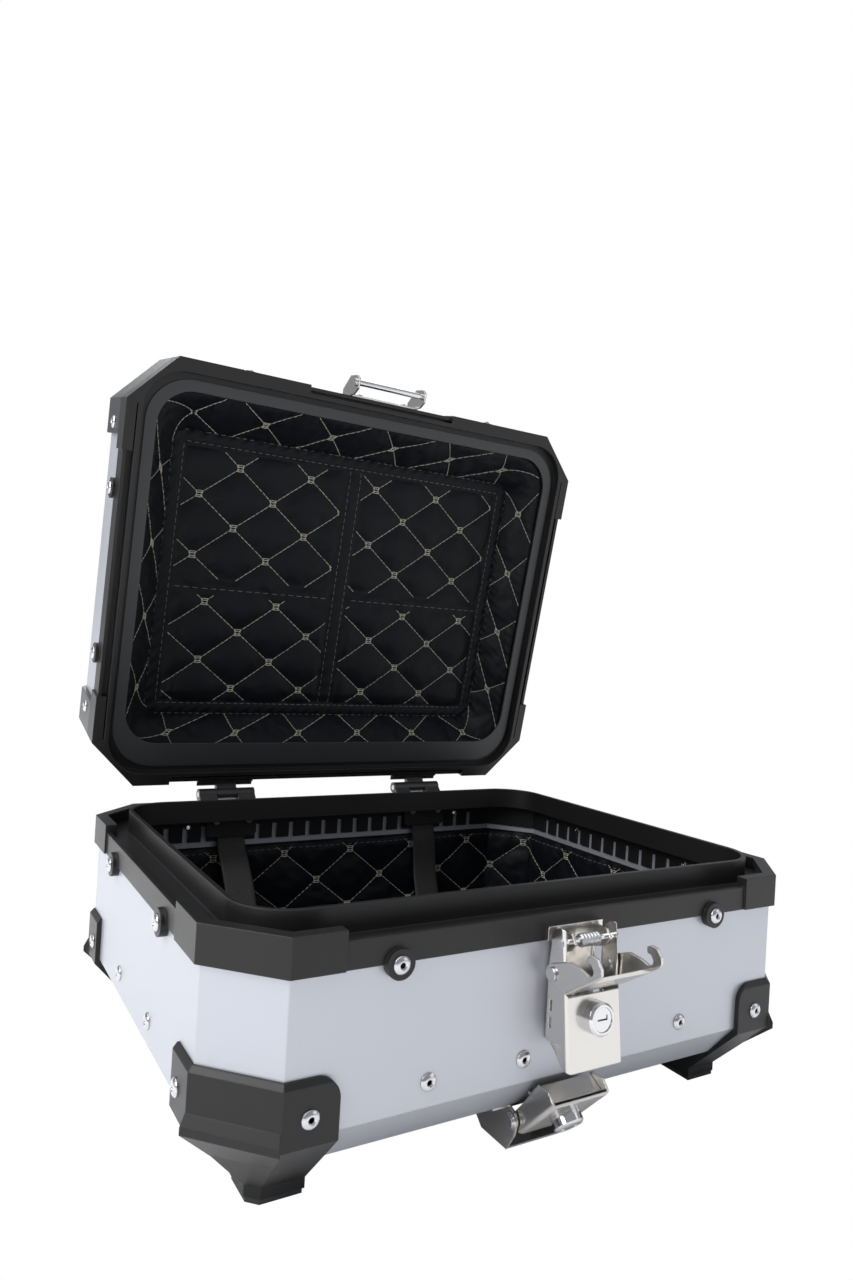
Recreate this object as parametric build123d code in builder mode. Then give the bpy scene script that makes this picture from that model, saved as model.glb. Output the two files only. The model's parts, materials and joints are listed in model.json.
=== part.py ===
from build123d import *
import math
import os

# Aluminium motorcycle top case with its lid standing open.
# Millimetres. +X runs along the front to the right, +Y to the back, +Z up.
# The origin is the centre of the plane that the four feet stand on.

os.makedirs("parts", exist_ok=True)

# ---------------------------------------------------------------- driving sizes
case_width = 430.0          # over the plastic rim, along X
case_depth = 350.0          # over the plastic rim, along Y
corner_cut_x = 36.0         # how much of the front each cut corner takes
corner_cut_y = 38.0         # how much of the side each cut corner takes
sheet = 1.5                 # aluminium thickness
wall_inset = 3.5            # aluminium wall, inside the rim's outline

# heights above the feet
floor_z = 28.0              # underside of the aluminium floor
bevel_top_z = 52.0          # where the sloping lower edge meets the wall
bevel_inset = 20.0          # how far the slope runs inwards
wall_top_z = 142.0          # top edge of the aluminium wall
skirt_bottom_z = 133.0      # lower edge of the case rim
skirt_top_z = 148.0         # upper edge of the case rim between its corner blocks
rim_plane_z = 154.0         # top of the corner blocks, where the lid lands
lip_top_z = 160.0           # top of the lip that enters the lid
liner_top_z = 115.0         # top edge of the quilted wall lining

# lid, drawn shut and then swung open
lid_gap = 0.4               # between the two rims when shut
lid_skirt_top_z = 176.0
lid_web_z = 162.0           # underside of the lid rim's flat web
web_thickness = 2.5
lid_bevel_z = 222.0
lid_top_z = 236.0
lid_bevel_inset = 14.0
lid_open_angle = 78.2       # degrees from shut, as it stands

# rim
skirt_inset = 1.5           # straight skirt, set back from the corner blocks
block_wall = 8.0            # corner block, from its face to the gutter
lip_half_width = 195.0
lip_front_y = -154.0
lip_rear_y = 146.0
lip_thickness = 3.0
lip_corner = 34.0
inner_skirt_bottom_z = 120.0
inner_skirt_thickness = 2.0
fit_gap = 0.1               # between pieces that are pressed against each other

# fasteners
rivet_shank = 2.4
rivet_head = 5.0
rivet_head_height = 2.2
rim_rivet_front_x = 118.0
rim_rivet_back_x = 134.0
rim_rivet_side_y = 67.0
boss_radius = 8.2
boss_standout = 1.5
shell_rivet_z = 65.5
shell_rivet_front_x = (31.0, 94.5)
shell_rivet_side_y = 40.5

# hinges
hinge_x = 97.0
hinge_width = 50.0
hinge_axis_y = 186.0
hinge_axis_z = 157.3
knuckle_radius = 5.0
hinge_pin_radius = 2.5
running_gap = 0.05
knuckle_gap = 0.4
leaf_thickness = 2.5
hinge_bolt_spread = 14.5
hinge_bolt_z = 138.0
lid_bolt_z = 170.5
bolt_radius = 2.0

# latch on the front
plate = 1.5                 # stainless sheet
lever_half_width = 20.5
lever_pin_y = -186.0
lever_pin_z = 135.0
claw_pin_y = -183.0
claw_pin_z = 117.0
claw_half_width = 22.8
claw_open_angle = 64.0      # how far it has swung out
catch_y = -184.5            # lid's catch pin, lid shut
catch_z = 149.2
catch_pin_radius = 2.5
catch_half_width = 33.0
barrel_radius = 9.3
barrel_height = 7.0
barrel_z = 94.0             # lock barrel on the latch lever
plug_radius = 6.8

# mount lock under the front edge
mount_pin_y = -153.8
mount_pin_z = 19.8
mount_half_width = 21.0
mount_bracket_half_width = 23.2
hook_x = 70.0               # rear hooks under the floor
hook_bolt_radius = 2.6

half_width = case_width / 2
half_depth = case_depth / 2
front_wall_y = -(half_depth - wall_inset)
rear_wall_y = half_depth - wall_inset
hinge_axis = Axis((0, hinge_axis_y, hinge_axis_z), (-1, 0, 0))
claw_axis = Axis((0, claw_pin_y, claw_pin_z), (1, 0, 0))


# ---------------------------------------------------------------- outlines
def octagon_points(inset):
    """Corners of the case outline, moved inwards all round by inset."""
    cut_length = math.hypot(corner_cut_x, corner_cut_y)
    across = half_width - inset
    along = half_depth - inset
    cut = corner_cut_y * half_width + corner_cut_x * half_depth
    cut = cut - corner_cut_x * corner_cut_y - inset * cut_length
    x_on_front = (cut - corner_cut_x * along) / corner_cut_y
    y_on_side = (cut - corner_cut_y * across) / corner_cut_x
    quarter = [(x_on_front, -along), (across, -y_on_side)]
    right = quarter + [(x, -y) for x, y in reversed(quarter)]
    return right + [(-x, y) for x, y in reversed(right)]


def octagon(inset):
    """The case outline as a face in the current sketch."""
    Polygon(*octagon_points(inset), align=None)


def octagon_slab(inset, low, high, mode=Mode.ADD):
    """A flat slab with the case outline, between two heights."""
    with BuildSketch(Plane.XY.offset(low)) as slab_outline:
        octagon(inset)
    extrude(slab_outline.sketch, amount=high - low, mode=mode)


def octagon_slope(inset_low, low, inset_high, high, mode=Mode.ADD):
    """A sloping band of the case outline, between two heights."""
    with BuildSketch(Plane.XY.offset(low)) as low_outline:
        octagon(inset_low)
    with BuildSketch(Plane.XY.offset(high)) as high_outline:
        octagon(inset_high)
    loft(sections=[low_outline.sketch.face(), high_outline.sketch.face()], ruled=True, mode=mode)


def rounded_slab(half_x, front_y, rear_y, corner, low, high, mode=Mode.ADD):
    """A slab with a round-cornered rectangular outline, between two heights."""
    middle = (front_y + rear_y) / 2
    with BuildSketch(Plane((0, middle, low))) as slab_outline:
        RectangleRounded(2 * half_x, rear_y - front_y, corner)
    extrude(slab_outline.sketch, amount=high - low, mode=mode)


def wall_plane(wall, along, height, inset):
    """A plane on one wall of the case, facing outwards."""
    if wall == "front":
        return Plane((along, inset - half_depth, height), x_dir=(1, 0, 0), z_dir=(0, -1, 0))
    if wall == "back":
        return Plane((along, half_depth - inset, height), x_dir=(-1, 0, 0), z_dir=(0, 1, 0))
    if wall == "left":
        return Plane((inset - half_width, along, height), x_dir=(0, -1, 0), z_dir=(-1, 0, 0))
    return Plane((half_width - inset, along, height), x_dir=(0, 1, 0), z_dir=(1, 0, 0))


def side_profile(points, half_length, mode=Mode.ADD, centre_x=0.0):
    """Points given as (y, z), drawn from the side and extruded along X."""
    with BuildSketch(Plane((centre_x, 0, 0), x_dir=(0, 1, 0), z_dir=(1, 0, 0))) as outline:
        Polygon(*points, align=None)
    extrude(outline.sketch, amount=half_length, both=True, mode=mode)


def cross_bar(y, z, radius, x_low, x_high, mode=Mode.ADD):
    """A round bar or bore along X."""
    with BuildSketch(Plane((x_low, y, z), x_dir=(0, 1, 0), z_dir=(1, 0, 0))) as round_face:
        Circle(radius)
    extrude(round_face.sketch, amount=x_high - x_low, mode=mode)


def rounded_front(seat, up, normal, half_length, radius):
    """A long block whose front face lies at seat, with its two upright edges rounded."""
    depth = 120
    with BuildPart(mode=Mode.PRIVATE) as block:
        with BuildSketch(Plane(seat - normal * (depth / 2), x_dir=(1, 0, 0), z_dir=up)):
            RectangleRounded(2 * half_length, depth, radius)
        extrude(amount=depth, both=True)
    return block.part


def save_open(piece, label, axis, angle):
    """Write a piece that was drawn shut, swung open about its pivot."""
    opened = piece.part.rotate(axis, angle)
    opened.label = label
    export_step(opened, f"parts/{label}.step")


# ---------------------------------------------------------------- fastener places
rim_rivet_planes = [
    wall_plane(wall, sign * along, skirt_bottom_z, -boss_standout)
    for wall, along in (
        ("front", rim_rivet_front_x),
        ("back", rim_rivet_back_x),
        ("left", rim_rivet_side_y),
        ("right", rim_rivet_side_y),
    )
    for sign in (-1, 1)
]
lid_rim_rivet_planes = [
    Plane(
        (place.origin.X, place.origin.Y, lid_skirt_top_z),
        x_dir=place.x_dir,
        z_dir=place.z_dir,
    )
    for place in rim_rivet_planes
]
shell_rivet_planes = [
    wall_plane(wall, sign * along, shell_rivet_z, wall_inset)
    for wall in ("front", "back")
    for along in shell_rivet_front_x
    for sign in (-1, 1)
] + [
    wall_plane(wall, sign * shell_rivet_side_y, shell_rivet_z, wall_inset)
    for wall in ("left", "right")
    for sign in (-1, 1)
]
shoe_rivet_z = 63.0
shoe_rivet_x = 164.0
shoe_rivet_y = 118.0
shoe_face = 3.5             # shoe flange, standing out from the wall
shoe_rivet_planes = [
    wall_plane(wall, sign * shoe_rivet_x, shoe_rivet_z, wall_inset - shoe_face)
    for wall in ("front", "back")
    for sign in (-1, 1)
] + [
    wall_plane(wall, sign * shoe_rivet_y, shoe_rivet_z, wall_inset - shoe_face)
    for wall in ("left", "right")
    for sign in (-1, 1)
]
guard_rivet_z = 196.0
guard_rivet_planes = [
    Plane((place.origin.X, place.origin.Y, guard_rivet_z), x_dir=place.x_dir, z_dir=place.z_dir)
    for place in shoe_rivet_planes
]
mount_rivet_places = [
    (way * (mount_bracket_half_width + 6), place_y) for way in (-1, 1) for place_y in (-143.0, -127.0)
]
hook_bolt_places = [(way * hook_x, place_y) for way in (-1, 1) for place_y in (100.0, 116.0)]
catch_rivet_planes = [wall_plane("front", place_x, 167.0, skirt_inset - plate) for place_x in (-22.0, 22.0)]
hinge_bolt_places = [
    side * hinge_x + spread for side in (-1, 1) for spread in (-hinge_bolt_spread, hinge_bolt_spread)
]


def rivet(grip):
    """A blind rivet: domed head with its open centre, and a shank through grip."""
    with BuildPart() as blind_rivet:
        with BuildSketch(Plane.XZ) as section:
            with BuildLine():
                Polyline(
                    (1.4, -grip),
                    (rivet_shank, -grip),
                    (rivet_shank, 0),
                    (rivet_head, 0),
                    (rivet_head, 0.7),
                )
                ThreePointArc(
                    (rivet_head, 0.7),
                    (rivet_head - 1.2, rivet_head_height - 0.4),
                    (rivet_head - 2.8, rivet_head_height),
                )
                Polyline(
                    (rivet_head - 2.8, rivet_head_height),
                    (1.4, rivet_head_height - 0.7),
                    (1.4, -grip),
                )
            make_face()
        revolve(axis=Axis.Z)
    return blind_rivet.part


def rivet_group(planes, grip):
    """One rivet on each plane, as separate solids."""
    one = rivet(grip)
    with BuildPart() as group:
        for place in planes:
            add(one.moved(place.location))
    return group


def drill(planes, radius, depth):
    """Round holes into the current part, from each plane inwards."""
    with Locations(*[place.location for place in planes]):
        Hole(radius, depth)


def drill_back(places_x, height, radius):
    """Bolt holes through the rear wall, along Y."""
    for place_x in places_x:
        behind = Plane((place_x, half_depth + 5, height), x_dir=(-1, 0, 0), z_dir=(0, 1, 0))
        with BuildSketch(behind) as bolt_hole:
            Circle(radius)
        extrude(bolt_hole.sketch, amount=-20, mode=Mode.SUBTRACT)


def drill_floor(places, radius):
    """Holes through the floor and whatever is fixed right under it."""
    with Locations(*[(place_x, place_y, floor_z + 5) for place_x, place_y in places]):
        Hole(radius, 10)


# ---------------------------------------------------------------- aluminium case shell
with BuildPart() as case_shell:
    octagon_slope(wall_inset + bevel_inset, floor_z, wall_inset, bevel_top_z)
    octagon_slab(wall_inset, bevel_top_z, wall_top_z)
    octagon_slope(
        wall_inset + bevel_inset + sheet / 2,
        floor_z + sheet,
        wall_inset + sheet,
        bevel_top_z + sheet / 2,
        mode=Mode.SUBTRACT,
    )
    octagon_slab(wall_inset + sheet, bevel_top_z + sheet / 2, wall_top_z + 1, mode=Mode.SUBTRACT)
    drill(rim_rivet_planes, rivet_shank, 12)
    drill(shell_rivet_planes, rivet_shank, 5)
    drill(shoe_rivet_planes, rivet_shank, 8)
    drill_back(hinge_bolt_places, hinge_bolt_z, bolt_radius)
    drill_floor(mount_rivet_places, rivet_shank)
    drill_floor(hook_bolt_places, hook_bolt_radius)
case_shell.part.label = "case_shell"
export_step(case_shell.part, "parts/case_shell.step")

# ---------------------------------------------------------------- case rim
block_end_x = 149.0
block_end_y = 98.0
tab_pitch = 16.0
tab_slot = 5.0
tab_slot_height = 13.0


def corner_columns(front_end_x, rear_end_x, end_y, low, high):
    """Four columns that keep only the corners of a slab."""
    with BuildPart(mode=Mode.PRIVATE) as columns:
        for way, end_x in ((-1, front_end_x), (1, rear_end_x)):
            for sign_x in (-1, 1):
                middle = Plane((sign_x * (end_x + 100), way * (end_y + 50), low))
                with BuildSketch(middle) as square:
                    Rectangle(200, 100)
                extrude(square.sketch, amount=high - low)
    return columns.part


def corner_blocks(front_end_x, end_y, bottom, shelf, top, shelf_side):
    """The raised blocks round the four cut corners of a rim."""
    with BuildPart(mode=Mode.PRIVATE) as blocks:
        octagon_slab(0, bottom, top)
        octagon_slab(block_wall, bottom - 1, top + 1, mode=Mode.SUBTRACT)
        if shelf_side == "below":
            octagon_slab(wall_inset, bottom - 1, shelf, mode=Mode.SUBTRACT)
        else:
            octagon_slab(wall_inset, shelf, top + 1, mode=Mode.SUBTRACT)
        add(
            corner_columns(front_end_x, block_end_x, end_y, bottom - 2, top + 2),
            mode=Mode.INTERSECT,
        )
    return blocks.part


def tab_slots(low, high):
    """Slots that part the inner skirt into a row of small tabs."""
    columns = int(2 * (half_width - 50) / tab_pitch)
    rows = int(2 * (half_depth - 50) / tab_pitch)
    middle_z = (low + high) / 2
    with Locations((0, 0, middle_z)):
        with GridLocations(tab_pitch, 0, columns, 1):
            Box(tab_slot, case_depth, high - low, mode=Mode.SUBTRACT)
        with GridLocations(0, tab_pitch, 1, rows):
            Box(case_width, tab_slot, high - low, mode=Mode.SUBTRACT)


def inner_skirt(low, high, slot_low, slot_high):
    """The tabbed skirt that stands against the inside of the aluminium wall."""
    outside = wall_inset + sheet + fit_gap
    with BuildPart(mode=Mode.PRIVATE) as skirt:
        octagon_slab(outside, low, high)
        octagon_slab(outside + inner_skirt_thickness, low - 1, high + 1, mode=Mode.SUBTRACT)
        tab_slots(slot_low, slot_high)
    return skirt.part


with BuildPart() as case_rim:
    octagon_slab(skirt_inset, skirt_bottom_z, skirt_top_z)
    octagon_slab(wall_inset, skirt_bottom_z - 1, wall_top_z, mode=Mode.SUBTRACT)
    octagon_slab(wall_inset + 1, wall_top_z + web_thickness, skirt_top_z + 1, mode=Mode.SUBTRACT)
    add(corner_blocks(block_end_x, block_end_y, skirt_bottom_z, wall_top_z, rim_plane_z, "below"))
    rounded_slab(lip_half_width, lip_front_y, lip_rear_y, lip_corner, wall_top_z, lip_top_z)
    rounded_slab(
        lip_half_width - lip_thickness,
        lip_front_y + lip_thickness,
        lip_rear_y - lip_thickness,
        lip_corner - lip_thickness,
        wall_top_z - 1,
        lip_top_z + 1,
        mode=Mode.SUBTRACT,
    )
    add(
        inner_skirt(
            inner_skirt_bottom_z,
            wall_top_z,
            inner_skirt_bottom_z - 1,
            inner_skirt_bottom_z + tab_slot_height,
        )
    )
    for place in rim_rivet_planes:
        with BuildSketch(place):
            Circle(boss_radius)
        extrude(amount=-(boss_standout + wall_inset))
    drill(rim_rivet_planes, rivet_shank, 14)
    drill_back(hinge_bolt_places, hinge_bolt_z, bolt_radius)
case_rim.part.label = "case_rim"
export_step(case_rim.part, "parts/case_rim.step")

rim_rivets = rivet_group(rim_rivet_planes, boss_standout + wall_inset + sheet + 2)
rim_rivets.part.label = "rim_rivets"
export_step(rim_rivets.part, "parts/rim_rivets.step")

shell_rivets = rivet_group(shell_rivet_planes, sheet)
shell_rivets.part.label = "shell_rivets"
export_step(shell_rivets.part, "parts/shell_rivets.step")

# ---------------------------------------------------------------- corner shoes and feet
shoe_top_z = 82.0
shoe_low_z = 49.0           # where the flanges end and the leg begins
shoe_end_x = 148.0          # inner edge of the front flange
shoe_end_y = 108.0          # inner edge of the side flange
flange_round = 12.0         # rounded top corner of each flange
ledge_low_z = 49.0
ledge_edge_z = 53.0         # outer edge of the ledge's sloping top
ledge_high_z = 59.0
chin_low_z = 15.0
top_chamfer = 3.0
ledge_out = 3.0
foot_front_y = 136.0
foot_side_x = 179.0
foot_inner_x = 147.0
foot_inner_y = 106.0
foot_cut = 7.0
foot_top_z = 9.0
pad_height = 3.0
tread_recess = 3.0


def case_envelope():
    """The outside of the case shell as one solid, to cut the shoes to fit."""
    with BuildPart(mode=Mode.PRIVATE) as envelope:
        octagon_slope(wall_inset + bevel_inset, floor_z, wall_inset, bevel_top_z)
        octagon_slab(wall_inset, bevel_top_z, wall_top_z)
    return envelope.part


outline_corner = octagon_points(wall_inset - shoe_face)
front_corner = outline_corner[0]
side_corner = outline_corner[1]
ledge_corner = octagon_points(wall_inset - shoe_face - ledge_out)

inner_ledge = octagon_points(wall_inset - shoe_face - 0.2)
toe_plan = [
    (foot_side_x - foot_cut - 1, -foot_front_y - 3.0),
    (foot_side_x + 3.0, -foot_front_y + foot_cut + 1),
    (foot_side_x - 4, -foot_front_y + foot_cut + 4),
    (foot_side_x - foot_cut - 4, -foot_front_y + 4),
]
shoe_plan = [
    (shoe_end_x, front_corner[1]),
    front_corner,
    side_corner,
    (side_corner[0], -shoe_end_y),
    (shoe_end_x, -shoe_end_y),
]
foot_plan = [
    (foot_inner_x, -foot_front_y),
    (foot_side_x - foot_cut, -foot_front_y),
    (foot_side_x, -foot_front_y + foot_cut),
    (foot_side_x, -foot_inner_y),
    (foot_inner_x, -foot_inner_y),
]

with BuildPart() as shoe:
    # flanges and corner plate
    with BuildSketch(Plane.XY.offset(shoe_low_z)):
        Polygon(*shoe_plan, align=None)
    extrude(amount=shoe_top_z - shoe_low_z)
    # ledge across the cut corner, with a sloping top
    with BuildSketch(Plane.XY.offset(ledge_low_z)):
        Polygon(ledge_corner[0], ledge_corner[1], side_corner, front_corner, align=None)
    extrude(amount=ledge_edge_z - ledge_low_z)
    with BuildSketch(Plane.XY.offset(ledge_edge_z)):
        Polygon(ledge_corner[0], ledge_corner[1], side_corner, front_corner, align=None)
    with BuildSketch(Plane.XY.offset(ledge_high_z)):
        Polygon(inner_ledge[0], inner_ledge[1], side_corner, front_corner, align=None)
    loft(ruled=True)
    # chin that carries the ledge's face down to the toe of the foot
    with BuildSketch(Plane.XY.offset(chin_low_z)):
        Polygon(*toe_plan, align=None)
    with BuildSketch(Plane.XY.offset(ledge_low_z)):
        Polygon(ledge_corner[0], ledge_corner[1], side_corner, front_corner, align=None)
    loft(ruled=True)
    # leg that slopes in to the foot
    with BuildSketch(Plane.XY.offset(foot_top_z)):
        Polygon(*foot_plan, align=None)
    with BuildSketch(Plane.XY.offset(shoe_low_z)):
        Polygon(*shoe_plan, align=None)
    loft(ruled=True)
    with BuildSketch(Plane.XY.offset(pad_height)):
        Polygon(*foot_plan, align=None)
    extrude(amount=foot_top_z - pad_height)
    # rounded top corners of the two flanges
    front_side = Plane.XZ.offset(half_depth + 5)
    right_side = Plane((half_width + 5, 0, 0), x_dir=(0, -1, 0), z_dir=(1, 0, 0))
    for seen_from, flange_end in ((front_side, shoe_end_x), (right_side, shoe_end_y)):
        with BuildSketch(seen_from):
            with Locations((flange_end + flange_round / 2, shoe_top_z - flange_round / 2)):
                Rectangle(flange_round + 0.02, flange_round + 0.02)
            with Locations((flange_end + flange_round, shoe_top_z - flange_round)):
                Circle(flange_round, mode=Mode.SUBTRACT)
        extrude(amount=-15, mode=Mode.SUBTRACT)
    # shallow recess in the sloping corner face
    top_front = Vector(ledge_corner[0][0], ledge_corner[0][1], ledge_low_z)
    top_side = Vector(ledge_corner[1][0], ledge_corner[1][1], ledge_low_z)
    toe = (Vector(*toe_plan[0], chin_low_z) + Vector(*toe_plan[1], chin_low_z)) / 2
    face_normal = (top_side - top_front).cross(toe - top_front).normalized()
    middle = (top_front + top_side) / 2
    if face_normal.Z > 0:
        face_normal = face_normal * -1
    slope_plane = Plane(middle, x_dir=(top_side - top_front), z_dir=face_normal)
    slope_length = (toe - middle).length
    slope_way = slope_plane.to_local_coords(toe).Y / slope_length
    with BuildSketch(slope_plane):
        Polygon(
            (-19, slope_way * 4),
            (19, slope_way * 4),
            (4.0, slope_way * (slope_length - 8)),
            (-4.0, slope_way * (slope_length - 8)),
            align=None,
        )
    extrude(amount=-tread_recess, mode=Mode.SUBTRACT)
    # chamfered top edge
    with BuildPart(mode=Mode.PRIVATE) as under_chamfer:
        octagon_slab(-10, 0, shoe_top_z - top_chamfer)
        octagon_slope(
            wall_inset - shoe_face, shoe_top_z - top_chamfer, wall_inset - 1.2, shoe_top_z
        )
    add(under_chamfer.part, mode=Mode.INTERSECT)
    add(case_envelope(), mode=Mode.SUBTRACT)
    drill(
        [
            wall_plane("front", shoe_rivet_x, shoe_rivet_z, wall_inset - shoe_face),
            wall_plane("right", -shoe_rivet_y, shoe_rivet_z, wall_inset - shoe_face),
        ],
        rivet_shank,
        6,
    )

with BuildPart() as foot_pad:
    with BuildSketch() as pad_plan:
        Polygon(
            (foot_inner_x + 1, -foot_front_y + 1),
            (foot_side_x - foot_cut, -foot_front_y + 1),
            (foot_side_x - 1, -foot_front_y + foot_cut),
            (foot_side_x - 1, -foot_inner_y - 1),
            (foot_inner_x + 1, -foot_inner_y - 1),
            align=None,
        )
    extrude(pad_plan.sketch, amount=pad_height)

corners = (
    ("front_right", False, False),
    ("front_left", True, False),
    ("rear_right", False, True),
    ("rear_left", True, True),
)


def at_corner(piece, flip_x, flip_y):
    """A front right corner piece, mirrored to another corner."""
    placed = piece
    if flip_x:
        placed = mirror(placed, about=Plane.YZ, mode=Mode.PRIVATE)
    if flip_y:
        placed = mirror(placed, about=Plane.XZ, mode=Mode.PRIVATE)
    return placed


for corner, flip_x, flip_y in corners:
    with BuildPart() as corner_shoe:
        add(at_corner(shoe.part, flip_x, flip_y))
    corner_shoe.part.label = f"corner_shoe_{corner}"
    export_step(corner_shoe.part, f"parts/corner_shoe_{corner}.step")

with BuildPart() as foot_pads:
    for corner, flip_x, flip_y in corners:
        add(at_corner(foot_pad.part, flip_x, flip_y))
foot_pads.part.label = "foot_pads"
export_step(foot_pads.part, "parts/foot_pads.step")

shoe_rivets = rivet_group(shoe_rivet_planes, shoe_face + sheet)
shoe_rivets.part.label = "shoe_rivets"
export_step(shoe_rivets.part, "parts/shoe_rivets.step")

# ---------------------------------------------------------------- quilted lining of the case
liner_thickness = 4.0
liner_inset = wall_inset + sheet + 0.4
liner_bottom_inset = wall_inset + bevel_inset + 2
liner_slope_top_z = bevel_top_z + 2

with BuildPart() as case_liner_walls:
    octagon_slope(liner_bottom_inset, floor_z + sheet + 0.4, liner_inset, liner_slope_top_z)
    octagon_slab(liner_inset, liner_slope_top_z, liner_top_z)
    octagon_slope(
        liner_bottom_inset + liner_thickness,
        floor_z + sheet,
        liner_inset + liner_thickness,
        liner_slope_top_z,
        mode=Mode.SUBTRACT,
    )
    octagon_slab(
        liner_inset + liner_thickness, liner_slope_top_z, liner_top_z + 1, mode=Mode.SUBTRACT
    )
case_liner_walls.part.label = "case_liner_walls"
export_step(case_liner_walls.part, "parts/case_liner_walls.step")

floor_pad_low_z = floor_z + sheet + 0.3
floor_pad_high_z = floor_pad_low_z + liner_thickness
with BuildPart() as case_liner_floor:
    octagon_slab(liner_bottom_inset + liner_thickness + 0.5, floor_pad_low_z, floor_pad_high_z)
case_liner_floor.part.label = "case_liner_floor"
export_step(case_liner_floor.part, "parts/case_liner_floor.step")

# ---------------------------------------------------------------- hinges
rear_skirt_y = half_depth - skirt_inset
leaf_face_y = rear_skirt_y + leaf_thickness
knuckle_split = 9.0         # half width of the lid's middle knuckle
neck_low = hinge_axis_z - knuckle_radius
case_leaf_low_z = 128.0
case_leaf_high_z = 152.6
lid_leaf_low_z = 162.0
lid_leaf_high_z = 180.0

case_leaf_side = [
    (rear_skirt_y, case_leaf_low_z),
    (leaf_face_y, case_leaf_low_z),
    (leaf_face_y, case_leaf_high_z - 4),
    (hinge_axis_y, neck_low),
    (hinge_axis_y, hinge_axis_z),
    (hinge_axis_y - knuckle_radius, hinge_axis_z),
    (leaf_face_y, case_leaf_high_z),
    (rear_skirt_y, case_leaf_high_z),
]
lid_leaf_side = [
    (rear_skirt_y, lid_leaf_high_z),
    (leaf_face_y, lid_leaf_high_z),
    (leaf_face_y, lid_leaf_low_z + 4),
    (hinge_axis_y, hinge_axis_z + knuckle_radius),
    (hinge_axis_y, hinge_axis_z),
    (hinge_axis_y - knuckle_radius, hinge_axis_z),
    (leaf_face_y, lid_leaf_low_z),
    (rear_skirt_y, lid_leaf_low_z),
]


def leaf_bolt_holes(centre_x, height):
    """Two bolt holes through a hinge leaf."""
    drill_back((centre_x - hinge_bolt_spread, centre_x + hinge_bolt_spread), height, bolt_radius)


hinge_sides = (("left", -hinge_x), ("right", hinge_x))
for side, centre_x in hinge_sides:
    with BuildPart() as case_leaf:
        side_profile(case_leaf_side, hinge_width / 2, centre_x=centre_x)
        cross_bar(
            hinge_axis_y, hinge_axis_z, knuckle_radius, centre_x - hinge_width / 2, centre_x + hinge_width / 2
        )
        with Locations((centre_x, hinge_axis_y, hinge_axis_z)):
            Box(
                2 * (knuckle_split + knuckle_gap),
                2 * (hinge_axis_y - leaf_face_y - 0.5),
                2 * (knuckle_radius + 2),
                mode=Mode.SUBTRACT,
            )
        cross_bar(
            hinge_axis_y,
            hinge_axis_z,
            hinge_pin_radius,
            centre_x - hinge_width,
            centre_x + hinge_width,
            mode=Mode.SUBTRACT,
        )
        leaf_bolt_holes(centre_x, hinge_bolt_z)
    case_leaf.part.label = f"hinge_case_leaf_{side}"
    export_step(case_leaf.part, f"parts/hinge_case_leaf_{side}.step")

    with BuildPart() as lid_leaf:
        side_profile(lid_leaf_side, hinge_width / 2, centre_x=centre_x)
        cross_bar(
            hinge_axis_y, hinge_axis_z, knuckle_radius, centre_x - knuckle_split, centre_x + knuckle_split
        )
        for way in (-1, 1):
            outer = centre_x + way * (knuckle_split + hinge_width / 2)
            with Locations((outer, hinge_axis_y, hinge_axis_z)):
                Box(
                    hinge_width,
                    2 * (hinge_axis_y - leaf_face_y - 0.5),
                    2 * (knuckle_radius + 2),
                    mode=Mode.SUBTRACT,
                )
        cross_bar(
            hinge_axis_y,
            hinge_axis_z,
            hinge_pin_radius + running_gap,
            centre_x - hinge_width,
            centre_x + hinge_width,
            mode=Mode.SUBTRACT,
        )
        leaf_bolt_holes(centre_x, lid_bolt_z)
    save_open(lid_leaf, f"hinge_lid_leaf_{side}", hinge_axis, lid_open_angle)

with BuildPart() as hinge_pins:
    for side, centre_x in hinge_sides:
        cross_bar(
            hinge_axis_y,
            hinge_axis_z,
            hinge_pin_radius,
            centre_x - hinge_width / 2,
            centre_x + hinge_width / 2,
        )
hinge_pins.part.label = "hinge_pins"
export_step(hinge_pins.part, "parts/hinge_pins.step")

# clamp plates inside the rear wall, which also hold the luggage straps
strap_thickness = 1.2
strap_width = 25.0
inner_skirt_face_y = rear_wall_y - sheet - fit_gap - inner_skirt_thickness
clamp_thickness = 2.5
clamp_low_z = 124.0
clamp_high_z = 141.0
clamp_half_width = 22.0
clamp_rear_y = inner_skirt_face_y - strap_thickness - 0.2
clamp_front_y = clamp_rear_y - clamp_thickness
clamp_middle_z = (clamp_low_z + clamp_high_z) / 2

for side, centre_x in hinge_sides:
    with BuildPart() as hinge_clamp:
        clamp_face = Plane((centre_x, clamp_rear_y, clamp_middle_z), x_dir=(-1, 0, 0), z_dir=(0, 1, 0))
        with BuildSketch(clamp_face):
            RectangleRounded(2 * clamp_half_width, clamp_high_z - clamp_low_z, 4)
            with Locations(
                (-hinge_bolt_spread, hinge_bolt_z - clamp_middle_z),
                (hinge_bolt_spread, hinge_bolt_z - clamp_middle_z),
            ):
                Circle(bolt_radius, mode=Mode.SUBTRACT)
        extrude(amount=-clamp_thickness)
    hinge_clamp.part.label = f"hinge_clamp_{side}"
    export_step(hinge_clamp.part, f"parts/hinge_clamp_{side}.step")


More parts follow.
